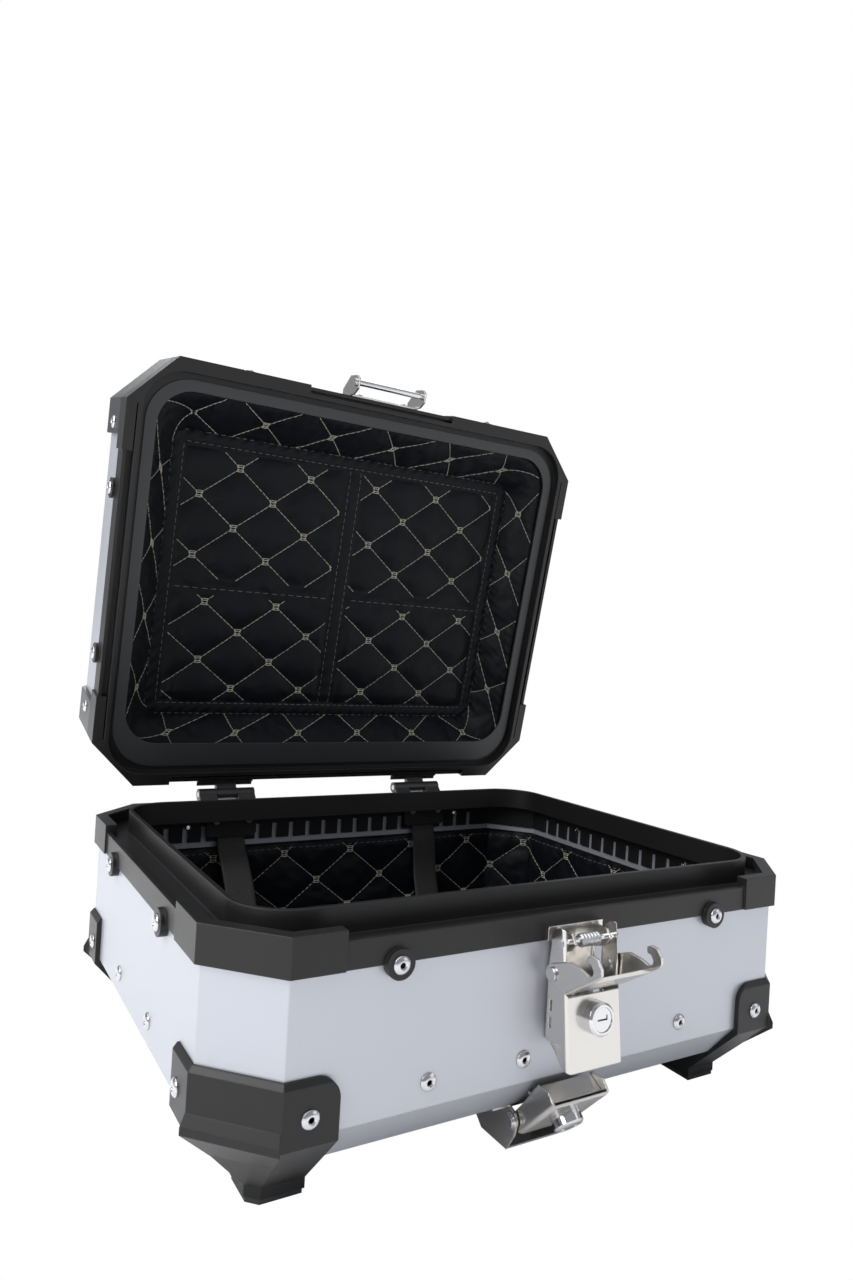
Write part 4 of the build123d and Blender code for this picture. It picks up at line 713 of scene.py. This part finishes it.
columns = np.linspace(-panel_half_x, panel_half_x, 181)
rows = np.linspace(-panel_half_y, panel_half_y, 133)
grid_u, grid_v = np.meshgrid(columns, rows)
heights = panel_height(grid_u, grid_v)
swing = np.array(lid_swing)
shut = np.stack([grid_u, grid_v, panel_face_z - heights], -1)
shut_back = np.stack([grid_u, grid_v, np.full_like(grid_u, panel_back_z)], -1)
pivot = np.array(hinge_place)
panel_edge = np.minimum(panel_half_x - np.abs(grid_u), panel_half_y - np.abs(grid_v))
panel_sewn = (panel_pillow(grid_u, grid_v) < held_down) | (panel_edge < edge_band)
panel_sewn |= (np.abs(grid_u) < seam_half + 0.002) | (np.abs(grid_v - hem_y - 0.004) < 0.005)
panel_front = inflate((shut - pivot) @ swing.T + pivot, panel_sewn, False)
panel_back = (shut_back - pivot) @ swing.T + pivot
panel = padded_grid("lid_panel_quilt", panel_front, panel_back, False)
panel.data.materials.append(leatherette)
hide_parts("lid_liner_panel")
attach(panel, "lid")


def on_diamonds(x, y):
    """Whether a stitch may lie here: clear of the seam, the hem and the bound edge."""
    bound = edge_band + edge_clearance
    inside = abs(x) < panel_half_x - bound and abs(y) < panel_half_y - bound
    return inside and abs(x) > seam_half + seam_clearance and not hem_low < y - hem_y < hem_high


stitches = []
for shift_x, shift_y, low_y, high_y in (
    (panel_shift_x, panel_shift_y, -panel_half_y, hem_y),
    (pocket_shift_x, pocket_shift_y, hem_y, panel_half_y),
):
    laid = quilt_stitches(
        shift_x - panel_half_x,
        shift_x + panel_half_x,
        shift_y + low_y,
        shift_y + high_y,
        lambda u, v: on_diamonds(u - shift_x, v - shift_y),
    )
    stitches += [((a[0] - shift_x, a[1] - shift_y), (b[0] - shift_x, b[1] - shift_y)) for a, b in laid]
panel_thread = thread_object("lid_panel_thread", stitches, panel_surface)
panel_thread.data.materials.append(thread_cloth)
seams = []
for way in (-1, 1):
    line = way * seam_line
    end = panel_half_y - edge_band
    seams += stitch_run((line, -end), (line, end), line_stitch, line_gap)
    for offset in edge_lines:
        far_x, far_y = panel_half_x - offset, panel_half_y - offset
        seams += stitch_run((way * far_x, -far_y), (way * far_x, far_y), line_stitch, line_gap)
        seams += stitch_run((-far_x, way * far_y), (far_x, way * far_y), line_stitch, line_gap)
    seams += stitch_run((way * hem_start, hem_line), (way * hem_end, hem_line), 0.005, 0.003)
panel_seams = thread_object("lid_panel_seams", seams, panel_surface)
panel_seams.data.materials.append(dark_thread)
for thread in (panel_thread, panel_seams):
    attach(thread, "lid")

# ---------------------------------------------------------------- lining of the lid: sides
# A strip of the same quilted cloth runs round the sloping sides of the
# lid, from its rim to the panel, and puckers where it turns the corners.
mouth_half = np.array([0.191, 0.152])
throat_half = np.array([0.1685, 0.1225])
mouth_corner, throat_corner = 0.030, 0.014
side_low_z, side_high_z = 0.1650, 0.1950
side_rows, side_columns = 27, 520
side_lift = 0.0004          # the cloth's least height over its backing
side_depth = 0.0035         # from the backing to the back of the foam
side_hem = 0.06             # share of the strip that is sewn flat along both edges


def rounded_rectangle(half, corner, share):
    """A point on a rounded rectangle, share 0 to 1 of the way round, and its outward direction."""
    straight_x, straight_y = 2 * (half[0] - corner), 2 * (half[1] - corner)
    quarter = math.pi / 2 * corner
    legs = [straight_x, quarter, straight_y, quarter] * 2
    distance = (share % 1.0) * sum(legs)
    starts = [(-1, -1), (1, -1), (1, -1), (1, 1), (1, 1), (-1, 1), (-1, 1), (-1, -1)]
    for leg, (length, (sign_x, sign_y)) in enumerate(zip(legs, starts)):
        if distance <= length or leg == 7:
            break
        distance -= length
    turn = -math.pi / 2 + (leg // 2) * math.pi / 2
    centre = np.array([sign_x * (half[0] - corner), sign_y * (half[1] - corner)])
    if leg % 2:
        turn = turn + distance / corner
        out = np.array([math.cos(turn), math.sin(turn)])
        return centre + out * corner, out
    out = np.array([math.cos(turn), math.sin(turn)])
    return centre + out * corner + np.array([-out[1], out[0]]) * distance, out


def side_frame(share, rise):
    """A place on the lid's sloping side with the lid shut, and the direction it faces."""
    low, out_low = rounded_rectangle(mouth_half, mouth_corner, share)
    high, _ = rounded_rectangle(throat_half, throat_corner, share)
    flat = low + (high - low) * rise
    climb = side_high_z - side_low_z
    slope = np.linalg.norm(high - low)
    facing = np.array([-out_low[0] * climb, -out_low[1] * climb, -slope])
    facing = facing / np.linalg.norm(facing)
    return np.array([flat[0], flat[1], side_low_z + climb * rise]), facing


side_length = 4 * (mouth_half[0] + mouth_half[1]) - 8 * mouth_corner + math.tau * mouth_corner
diamonds_round = 2 * round(side_length / (2 * diamond_x))
side_climb = 0.042


def side_height(share, rise):
    """How far the side strip stands off its backing."""
    u = share * diamonds_round * diamond_x
    v = (rise - 0.5) * side_climb
    height = 0.8 * puff * pillow(u, v) + wrinkle * ripple(u, v, 0.04, 8)
    edge = np.minimum(rise, 1 - rise) * side_climb
    fold = 0.0012 * np.sin(share * 900) * np.exp(-edge / 0.004)
    return np.clip(height * np.clip(edge / 0.006, 0, 1) ** 0.5 + fold * np.clip(edge / 0.002, 0, 1), 0, None)


front_points = np.zeros((side_rows, side_columns, 3))
back_points = np.zeros_like(front_points)
side_sewn = np.ones((side_rows, side_columns), bool)
for column in range(side_columns):
    share = column / side_columns
    for row in range(side_rows):
        rise = row / (side_rows - 1)
        place, facing = side_frame(share, rise)
        front_points[row, column] = place + facing * (side_height(share, rise) + side_lift)
        loose = pillow(share * diamonds_round * diamond_x, (rise - 0.5) * side_climb) > held_down
        side_sewn[row, column] = not (loose and side_hem < rise < 1 - side_hem)
        back_points[row, column] = place - facing * side_depth
side_front = inflate((front_points - pivot) @ swing.T + pivot, side_sewn, True)
side_back = (back_points - pivot) @ swing.T + pivot
side_strip = padded_grid("lid_side_quilt", side_front, side_back, True)
side_strip.data.materials.append(leatherette)
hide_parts("lid_liner_sides")
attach(side_strip, "lid")


def side_surface(u, v):
    """A point on the side strip's face, with the direction it faces."""
    share, rise = u / (diamonds_round * diamond_x), v / side_climb + 0.5
    _, facing = side_frame(share, rise)
    return on_grid(side_front, share, rise, True), lid_swing @ Vector(facing)


stitched_half = side_climb / 2 - 0.001
side_stitches = quilt_stitches(
    0, diamonds_round * diamond_x, -stitched_half, stitched_half, lambda u, v: True
)
side_thread = thread_object("lid_side_thread", side_stitches, side_surface)
side_thread.data.materials.append(thread_cloth)
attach(side_thread, "lid")

# ---------------------------------------------------------------- lining of the case: walls
# The case is lined with a quilted band that stands inside the rim's
# tabbed skirt and follows the sloping lower edge down to the floor.
wall_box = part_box("case_liner_walls")
wall_top_z = wall_box[1].z
wall_foot_z = wall_box[0].z
half_x, half_y = 0.215, 0.175
cut_x, cut_y = 0.036, 0.038
wall_inset = half_x - wall_box[1].x
bevel_z = 0.054             # where the wall's sloping lower edge begins
bevel_inset = 0.0205        # how far the slope leads inwards
wall_shift = 0.010          # the quilting starts this far below the top edge
wall_thin = 0.0008          # the band's least thickness
wall_clearance = 0.0001     # between the band's back and the aluminium


def octagon(inset):
    """The eight corners of the case outline, moved inwards."""
    length = math.hypot(cut_x, cut_y)
    across, along = half_x - inset, half_y - inset
    cut = cut_y * half_x + cut_x * half_y - cut_x * cut_y - inset * length
    on_front = (cut - cut_x * along) / cut_y
    on_side = (cut - cut_y * across) / cut_x
    right = [(on_front, -along), (across, -on_side), (across, on_side), (on_front, along)]
    return right + [(-x, -y) for x, y in right]


wall_corners = [Vector((x, y)) for x, y in octagon(wall_inset)]
wall_legs = [(wall_corners[(k + 1) % 8] - wall_corners[k]).length for k in range(8)]
wall_length = sum(wall_legs)
wall_round = 2 * round(wall_length / (2 * diamond_x)) * diamond_x


def wall_frame(u, v):
    """A place on the outer face of the lining, u along the wall and v down from its top edge."""
    distance = (u / wall_round % 1.0) * wall_length
    for leg in range(8):
        if distance <= wall_legs[leg] or leg == 7:
            break
        distance -= wall_legs[leg]
    straight = wall_top_z - bevel_z
    slope = math.hypot(bevel_z - wall_foot_z, bevel_inset)
    below = max(v - straight, 0) / slope
    inset = wall_inset + below * bevel_inset
    height = wall_top_z - v if v < straight else bevel_z - below * (bevel_z - wall_foot_z)
    corners = octagon(inset)
    share = distance / wall_legs[leg]
    a, b = Vector(corners[leg]), Vector(corners[(leg + 1) % 8])
    flat = a.lerp(b, share)
    run = (b - a).normalized()
    inwards = Vector((-run.y, run.x))
    lean = bevel_inset / slope if v > straight else 0.0
    level = math.sqrt(1 - lean * lean)
    facing = Vector((inwards.x * level, inwards.y * level, lean))
    return Vector((flat.x, flat.y, height)), facing


wall_drop = wall_top_z - bevel_z + math.hypot(bevel_z - wall_foot_z, bevel_inset)


def wall_height(u, v):
    """Thickness of the lining band."""
    height = 0.0016 + 0.9 * puff * pillow(u, v - wall_shift) + wrinkle * ripple(u, v, 0.06, 5)
    edge = np.clip(v / 0.008, 0, 1) ** 0.5 * np.clip((wall_drop - v) / 0.006, 0, 1) ** 0.5
    hem = 0.0008 * np.sin(u / 0.0026) * np.exp(-v / 0.006)
    return np.clip(height * edge + hem + wall_thin, wall_thin, None)


wall_columns, wall_rows = 620, 44
front_points = np.zeros((wall_rows, wall_columns, 3))
back_points = np.zeros_like(front_points)
wall_sewn = np.ones((wall_rows, wall_columns), bool)
for column in range(wall_columns):
    u = column / wall_columns * wall_round
    for row in range(wall_rows):
        v = row / (wall_rows - 1) * wall_drop
        place, facing = wall_frame(u, v)
        front_points[row, column] = place + facing * float(wall_height(u, v))
        back_points[row, column] = place + facing * wall_clearance
        loose = pillow(u, v - wall_shift) > held_down
        wall_sewn[row, column] = not (loose and 0.008 < v < wall_drop - 0.004)
wall_front = inflate(front_points, wall_sewn, True)
wall_strip = padded_grid("case_wall_quilt", wall_front, back_points, True)
wall_strip.data.materials.append(leatherette)
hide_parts("case_liner_walls")
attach(wall_strip, "case")


def wall_surface(u, v):
    """A point on the lining band's face, with the direction it faces."""
    _, facing = wall_frame(u, v)
    return on_grid(wall_front, u / wall_round, v / wall_drop, True), facing


shifted = quilt_stitches(0, wall_round, -0.006, wall_drop - 0.014, lambda u, v: True)
wall_stitches = [((a[0], a[1] + wall_shift), (b[0], b[1] + wall_shift)) for a, b in shifted]
wall_thread = thread_object("case_wall_thread", wall_stitches, wall_surface)
wall_thread.data.materials.append(thread_cloth)
hem_stitches = []
hem_drop = 0.005            # from the band's top edge to its row of stitches
for k in range(8):
    start, end = (sum(wall_legs[:leg]) / wall_length * wall_round for leg in (k, k + 1))
    hem_stitches += stitch_run((start, hem_drop), (end, hem_drop), line_stitch, line_gap)
wall_hem = thread_object("case_wall_hem_thread", hem_stitches, wall_surface)
wall_hem.data.materials.append(dark_thread)
for thread in (wall_thread, wall_hem):
    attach(thread, "case")

# ---------------------------------------------------------------- lining of the case: floor
# A loose quilted mat lies on the case floor.
mat_low, mat_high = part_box("case_liner_floor")
mat_spread = 0.0018         # the soft edge reaches for the walls
mat_half_x, mat_half_y = mat_high.x + mat_spread, mat_high.y + mat_spread
mat_cut = 0.016             # its corners are cut off by this much
mat_border = 0.008          # flat border without quilting
mat_thin = 0.0008           # the mat's thickness at its edge
mat_columns = 151


def mat_half_width(v):
    """Half the mat's width at this distance from its middle."""
    return mat_half_x - max(abs(v) - (mat_half_y - mat_cut), 0)


def mat_height(u, v):
    """Height of the mat's face above its back."""
    edge = np.minimum(mat_half_x - np.abs(u), mat_half_y - np.abs(v))
    return mat_thin + 0.8 * puff * pillow(u, v) * np.clip(edge / mat_border, 0, 1) ** 0.5


mat_rows = np.linspace(-mat_half_y, mat_half_y, 121)
mat_shares = np.linspace(-1, 1, mat_columns)
grid_v = np.repeat(mat_rows[:, None], mat_columns, 1)
grid_u = np.array([[share * mat_half_width(v) for share in mat_shares] for v in mat_rows])
front_points = np.stack([grid_u, grid_v, mat_low.z + mat_height(grid_u, grid_v)], -1)
back_points = np.stack([grid_u, grid_v, np.full_like(grid_u, mat_low.z)], -1)
mat_sewn = (pillow(grid_u, grid_v) < held_down) | (np.abs(grid_v) > mat_half_y - mat_border)
mat_sewn[:, :3] = True
mat_sewn[:, -3:] = True
mat_front = inflate(front_points[::-1], mat_sewn[::-1], False, 0.002)
mat = padded_grid("case_floor_quilt", mat_front, back_points[::-1], False)
mat.data.materials.append(leatherette)
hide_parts("case_liner_floor")
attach(mat, "case")


def mat_surface(u, v):
    """A point on the mat's face; it faces up."""
    across, down = (u / mat_half_width(v) + 1) / 2, (1 - v / mat_half_y) / 2
    return on_grid(mat_front, across, down, False), Vector((0, 0, 1))


mat_stitches = quilt_stitches(
    -mat_half_x, mat_half_x, -mat_half_y, mat_half_y,
    lambda u, v: abs(u) < mat_half_width(v) - mat_border and abs(v) < mat_half_y - mat_border,
)
mat_thread = thread_object("case_floor_thread", mat_stitches, mat_surface)
mat_thread.data.materials.append(thread_cloth)
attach(mat_thread, "case")

# ---------------------------------------------------------------- luggage straps
# Two 25 mm polypropylene webbing straps, clamped under the hinge plates,
# hang down the rear wall and lie on the mat, each with its buckle.
strap_width = 0.025
strap_thickness = 0.0012
rear_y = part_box("strap_right")[1].y - strap_thickness / 2
strap_top_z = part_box("strap_right")[1].z
mat_top_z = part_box("strap_right")[0].z + strap_thickness / 2
# Each strap's route: steps back from the wall and down from its top, None for down on the mat.
strap_routes = {
    "left": [
        (0, 0),
        (0, -0.011),
        (-0.0055, -0.022),
        (-0.0375, -0.056),
        (-0.0615, -0.088),
        (-0.0755, None),
        (-0.1495, None),
    ],
    "right": [
        (0, 0),
        (0, -0.011),
        (-0.0035, -0.022),
        (-0.0065, -0.052),
        (-0.0235, -0.088),
        (-0.0375, None),
        (-0.1175, None),
    ],
}
warp_ribs = 14              # ribs across the strap
weft_pitch = 700            # weft threads to the metre


def build_weave_group():
    """Webbing: rows of warp ribs crossed by a fine weft."""
    group, given, result = new_group(
        "webbing_weave",
        [
            ("Base", "NodeSocketColor", (0.01, 0.01, 0.01, 1)),
            ("Tone", "NodeSocketColor", (0.02, 0.02, 0.02, 1)),
            ("Roughness", "NodeSocketFloat", 0.6),
        ],
        [
            ("Colour", "NodeSocketColor"),
            ("Roughness", "NodeSocketFloat"),
            ("Height", "NodeSocketFloat"),
        ],
    )
    nodes, link = group.nodes, group.links.new
    spread = nodes.new("ShaderNodeSeparateXYZ")
    link(nodes.new("ShaderNodeTexCoord").outputs["UV"], spread.inputs[0])
    ribs = math_node(group, "SINE", math_node(group, "MULTIPLY", spread.outputs[0], math.tau * warp_ribs))
    weft = math_node(group, "SINE", math_node(group, "MULTIPLY", spread.outputs[1], math.tau * weft_pitch))
    height = math_node(group, "ADD", ribs, math_node(group, "MULTIPLY", ribs, weft))
    height = math_node(group, "MULTIPLY", math_node(group, "ADD", height, 2.0), 0.25)
    link(height, result.inputs["Height"])
    link(mix_colour(group, height, given.outputs["Base"], given.outputs["Tone"]), result.inputs["Colour"])
    polish = math_node(group, "MULTIPLY", height, 0.15)
    link(math_node(group, "SUBTRACT", given.outputs["Roughness"], polish), result.inputs["Roughness"])
    return group


webbing = grained_material(
    "woven_webbing",
    build_weave_group(),
    {"Base": (0.006, 0.006, 0.006, 1), "Tone": (0.022, 0.022, 0.022, 1), "Roughness": 0.62},
    0.00025,
    0.15,
)
bend_reach = 0.45           # how much of a leg its rounded bend may take up
sway = 0.0015               # the strap wanders sideways by this much
for side in ("left", "right"):
    strap_low, strap_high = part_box(f"strap_{side}")
    middle_x = (strap_low.x + strap_high.x) / 2
    corners = [
        Vector((0, rear_y + y, mat_top_z if z is None else strap_top_z + z))
        for y, z in strap_routes[side]
    ]
    line = [corners[0]]
    for before, bend, after in zip(corners, corners[1:], corners[2:]):
        reach = min((bend - before).length, (after - bend).length) * bend_reach
        first = bend + (before - bend).normalized() * reach
        last = bend + (after - bend).normalized() * reach
        line += [first.lerp(bend, t).lerp(bend.lerp(last, t), t) for t in np.linspace(0, 1, 9)]
    line.append(corners[-1])
    front_rows, back_rows, uv_rows = [], [], []
    travelled = 0.0
    for index, point in enumerate(line):
        before, after = line[max(index - 1, 0)], line[min(index + 1, len(line) - 1)]
        ahead = (after - before).normalized()
        facing = Vector((0, ahead.z, -ahead.y))
        travelled += (point - before).length
        shares = np.linspace(-1, 1, 13)
        rounding = np.sqrt(np.clip(1 - np.abs(shares) ** 8, 0.05, 1))
        drift = sway * math.sin(travelled * 40) * min(travelled / 0.03, 1)
        row = [point + Vector((middle_x + drift + share * strap_width / 2, 0, 0)) for share in shares]
        front_rows.append([p + facing * strap_thickness / 2 * r for p, r in zip(row, rounding)])
        back_rows.append([p - facing * strap_thickness / 2 * r for p, r in zip(row, rounding)])
        uv_rows.append([((share + 1) / 2, travelled) for share in shares])
    strap = padded_grid(f"strap_{side}_webbing", np.array(front_rows), np.array(back_rows), False)
    flat_uv = np.array(uv_rows).reshape(-1, 2)
    layer = strap.data.uv_layers.new(name="weave")
    for loop in strap.data.loops:
        layer.data[loop.index].uv = flat_uv[loop.vertex_index % len(flat_uv)]
    strap.data.materials.append(webbing)
    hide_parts(f"strap_{side}")
    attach(strap, "case")

glossy_plastic = hard_material(
    "buckle_plastic",
    (0.012, 0.012, 0.012),
    (0.018, 0.018, 0.018),
    (0.05, 0.05, 0.05),
    0.30,
    0.0,
    0.00002,
    Grain=1500.0,
    Wear=0.3,
)
dress(glossy_plastic, "strap_buckle_left", "strap_buckle_right")

# ---------------------------------------------------------------- studio
# A pale floor that looks pure white from above and is clear from below,
# a large soft light high on the left, a weaker one on the right, one
# behind, a wide soft light overhead, and an even pale surround.
floor_mesh = bpy.data.meshes.new("studio_floor")
floor_reach = 40.0
floor_corners = [
    (way_x * floor_reach, way_y * floor_reach, 0) for way_x, way_y in ((-1, -1), (1, -1), (1, 1), (-1, 1))
]
floor_mesh.from_pydata(floor_corners, [], [(0, 1, 2, 3)])
studio_floor = bpy.data.objects.new("studio_floor", floor_mesh)
studio_floor.location.z = -0.0005           # just under the feet
bpy.context.scene.collection.objects.link(studio_floor)
paper = hard_material(
    "pale_paper", (0.96, 0.96, 0.96), (0.97, 0.97, 0.97), (0.95, 0.95, 0.95), 0.9, 0.0, 0.00002
)
tree = paper.node_tree
matt = tree.nodes["Principled BSDF"]
matt.inputs["Specular IOR Level"].default_value = 0.0
glow = tree.nodes.new("ShaderNodeEmission")
glow.inputs["Strength"].default_value = 1.0
seen = tree.nodes.new("ShaderNodeMixShader")
tree.links.new(tree.nodes.new("ShaderNodeLightPath").outputs["Is Camera Ray"], seen.inputs[0])
tree.links.new(matt.outputs[0], seen.inputs[1])
tree.links.new(glow.outputs[0], seen.inputs[2])
below = tree.nodes.new("ShaderNodeMixShader")
tree.links.new(tree.nodes.new("ShaderNodeNewGeometry").outputs["Backfacing"], below.inputs[0])
tree.links.new(seen.outputs[0], below.inputs[1])
tree.links.new(tree.nodes.new("ShaderNodeBsdfTransparent").outputs[0], below.inputs[2])
tree.links.new(below.outputs[0], tree.nodes["Material Output"].inputs["Surface"])
floor_mesh.materials.append(paper)


def soft_light(name, place, target, size, power, tint):
    """A square area light that points at a target."""
    data = bpy.data.lights.new(name, "AREA")
    data.size = size
    data.energy = power
    data.color = tint
    lamp = bpy.data.objects.new(name, data)
    bpy.context.scene.collection.objects.link(lamp)
    lamp.location = place
    lamp.rotation_euler = (Vector(target) - Vector(place)).to_track_quat("-Z", "Y").to_euler()


middle = (0, 0, 0.2)
soft_light("key_light", (-1.9, -0.3, 1.3), middle, 1.3, 34, (1.0, 1.0, 1.0))
soft_light("fill_light", (1.5, -1.5, 1.0), middle, 1.3, 5, (0.97, 0.98, 1.0))
soft_light("back_light", (0.6, 1.8, 1.7), middle, 1.6, 20, (1.0, 1.0, 1.0))
sky_data = bpy.data.lights.new("ceiling_light", "SUN")
sky_data.energy = 2.1
sky_data.angle = math.radians(70)
ceiling_light = bpy.data.objects.new("ceiling_light", sky_data)
bpy.context.scene.collection.objects.link(ceiling_light)
ceiling_light.rotation_euler = (math.radians(-8), math.radians(-14), 0)

world = bpy.data.worlds.new("studio")
bpy.context.scene.world = world
world.use_nodes = True
tree = world.node_tree
surround = tree.nodes["Background"]
surround.inputs["Color"].default_value = (0.93, 0.95, 1.0, 1)
surround.inputs["Strength"].default_value = 0.38
white = tree.nodes.new("ShaderNodeBackground")
white.inputs["Color"].default_value = (1, 1, 1, 1)
white.inputs["Strength"].default_value = 1.0
choice = tree.nodes.new("ShaderNodeMixShader")
tree.links.new(tree.nodes.new("ShaderNodeLightPath").outputs["Is Camera Ray"], choice.inputs[0])
tree.links.new(surround.outputs[0], choice.inputs[1])
tree.links.new(white.outputs[0], choice.inputs[2])
tree.links.new(choice.outputs[0], tree.nodes["World Output"].inputs["Surface"])
bpy.context.scene.view_settings.view_transform = "Standard"
